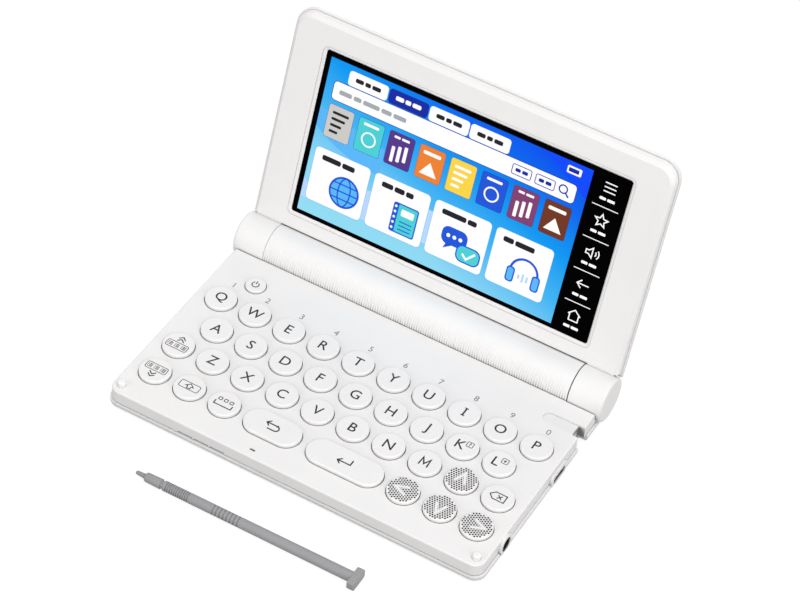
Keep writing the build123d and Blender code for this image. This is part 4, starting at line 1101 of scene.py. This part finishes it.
def draw_touch_strip(ui):
    """Five white touch signs down the black strip, with lines between them."""
    middle, low, high = 52.3, 15.6, 78.7
    step = (high - low) / 5
    for k in range(1, 5):
        y = low + k * step
        ui.stroke("white", 4, [(middle - 4.9, y), (middle + 4.9, y)], 0.3)
    centres = [high - (k + 0.5) * step for k in range(5)]
    for y in centres:
        ui.words("white", 4, middle - 2.9, y - 3.3, (2.4, 2.8), 1.0, 0.5)
    star = [
        (r * cos(a), r * sin(a))
        for r, a in ((2.5 if i % 2 == 0 else 1.15, pi / 2 + i * pi / 5) for i in range(10))
    ]
    cone = [(-2.3, 0.7), (-1.2, 0.7), (0.1, 1.9), (0.1, -1.9), (-1.2, -0.7), (-2.3, -0.7)]
    roof = [(-2.3, 0.3), (0, 2.3), (2.3, 0.3)]
    walls = [(-1.7, 0.6), (-1.7, -2.0), (1.7, -2.0), (1.7, 0.6)]
    # Each sign's lines, and whether they close: list, star, loudspeaker, arrow and house
    signs = (
        [([(-2.2, dy), (2.2, dy)], False) for dy in (-1.6, 0.0, 1.6)],
        [(star, True)],
        [(cone, True)] + [(arc(0.3, 0, r, -42, 42, 8), False) for r in (1.2, 2.3)],
        [([(2.2, 0), (-2.2, 0)], False), ([(-0.6, 1.6), (-2.2, 0), (-0.6, -1.6)], False)],
        [(roof, False), (walls, False)],
    )
    for y, lines in zip(centres, signs):
        for points, closed in lines:
            ui.stroke("white", 4, moved(points, middle, y + SIGN_RISE), SIGN_LINE, closed)


draw_screen()


# ---------------------------------------------------------------- floor, light and camera

PAPER = 0.84             # share of the floor's white that it keeps in shadow
FLOOR_DIFFUSE = 0.20     # the rest of its white, which takes the lamps' light and the object's shadow
FLOOR_BOUNCE = 0.28      # how much of the light it throws back onto the object
FLOOR_HALF = 3.0
AMBIENT = 0.61
SOFTBOX_SIZE = 0.9


def mix_by_ray(tree, rays, others, seen, output):
    """Show one shader to the named kinds of ray and another to all the rest."""
    path = tree.nodes.new("ShaderNodeLightPath")
    asked = path.outputs[rays[0]]
    for ray in rays[1:]:
        either = tree.nodes.new("ShaderNodeMath")
        either.operation = "MAXIMUM"
        tree.links.new(asked, either.inputs[0])
        tree.links.new(path.outputs[ray], either.inputs[1])
        asked = either.outputs[0]
    pick = tree.nodes.new("ShaderNodeMixShader")
    for source, socket in zip((asked, others.outputs[0], seen.outputs[0]), pick.inputs):
        tree.links.new(source, socket)
    tree.links.new(pick.outputs[0], tree.nodes[output].inputs["Surface"])


def studio_floor():
    """A plain pale floor that reads as white paper and keeps the object's soft shadow."""
    mesh = bpy.data.meshes.new("studio_floor")
    corners = [(x * FLOOR_HALF, y * FLOOR_HALF, 0) for x, y in ((-1, -1), (1, -1), (1, 1), (-1, 1))]
    mesh.from_pydata(corners, [], [(0, 1, 2, 3)])
    floor = bpy.data.objects.new("studio_floor", mesh)
    bpy.context.scene.collection.objects.link(floor)
    m = Nodes("studio_floor")
    diffuse, bounce = m.add("ShaderNodeBsdfDiffuse"), m.add("ShaderNodeBsdfDiffuse")
    diffuse.inputs["Color"].default_value = (FLOOR_DIFFUSE, FLOOR_DIFFUSE, FLOOR_DIFFUSE, 1)
    bounce.inputs["Color"].default_value = (FLOOR_BOUNCE, FLOOR_BOUNCE, FLOOR_BOUNCE, 1)
    glow = m.add("ShaderNodeEmission")
    glow.inputs["Strength"].default_value = PAPER
    paper = m.add("ShaderNodeAddShader")
    m.link(diffuse.outputs[0], paper.inputs[0])
    m.link(glow.outputs[0], paper.inputs[1])
    mix_by_ray(m.tree, ("Is Camera Ray", "Is Glossy Ray"), bounce, paper, "Material Output")
    m.tree.nodes.remove(m.shader)
    dress(floor, m.material)


def studio_world():
    """White to the camera, the glass and the gloss; a plain soft level for everything else."""
    world = bpy.data.worlds.new("studio")
    bpy.context.scene.world = world
    world.use_nodes = True
    tree = world.node_tree
    soft, white = tree.nodes["Background"], tree.nodes.new("ShaderNodeBackground")
    for background, strength in ((soft, AMBIENT), (white, 1.0)):
        background.inputs["Color"].default_value = (1, 1, 1, 1)
        background.inputs["Strength"].default_value = strength
    mix_by_ray(tree, ("Is Camera Ray", "Is Glossy Ray", "Is Transmission Ray"), soft, white, "World Output")


def softbox(name, place, aim, watts):
    """A square lamp that points at a spot."""
    light = bpy.data.lights.new(name, "AREA")
    light.shape = "SQUARE"
    light.size = SOFTBOX_SIZE
    light.energy = watts
    lamp = bpy.data.objects.new(name, light)
    lamp.location = place
    lamp.rotation_euler = (Vector(aim) - Vector(place)).to_track_quat("-Z", "Y").to_euler()
    bpy.context.scene.collection.objects.link(lamp)


studio_floor()
studio_world()
softbox("softbox_main", (0.56, -0.47, 1.18), (0, 0, 0), 9.0)
softbox("softbox_left", (-0.6, -0.9, 0.5), (0, 0.06, 0.06), 3.4)
softbox("softbox_right", (1.15, -0.35, 0.35), (0, 0.06, 0.04), 3.8)
softbox("softbox_back", (-0.2, 1.25, 0.4), (0, 0.06, 0.04), 4.0)

CAMERA_PLACE = Vector((0.316215, -0.625177, 0.756069))
CAMERA_AIM = Vector((0.0, 0.020889, 0.032764))
CAMERA_ROLL = 5.61           # degrees
CAMERA_LENS = 134.64         # mm, on a sensor 36 mm wide


def studio_camera():
    """The camera for the main view, with a long lens."""
    camera = bpy.data.cameras.new("camera")
    camera.lens = CAMERA_LENS
    camera.sensor_width = 36.0
    camera.clip_start, camera.clip_end = 0.05, 20.0
    holder = bpy.data.objects.new("camera", camera)
    holder.location = CAMERA_PLACE
    look = (CAMERA_AIM - CAMERA_PLACE).to_track_quat("-Z", "Y").to_matrix()
    holder.rotation_euler = (look @ Matrix.Rotation(radians(CAMERA_ROLL), 3, "Z")).to_euler()
    bpy.context.scene.collection.objects.link(holder)
    bpy.context.scene.camera = holder


studio_camera()
bpy.context.scene.view_settings.view_transform = "Standard"
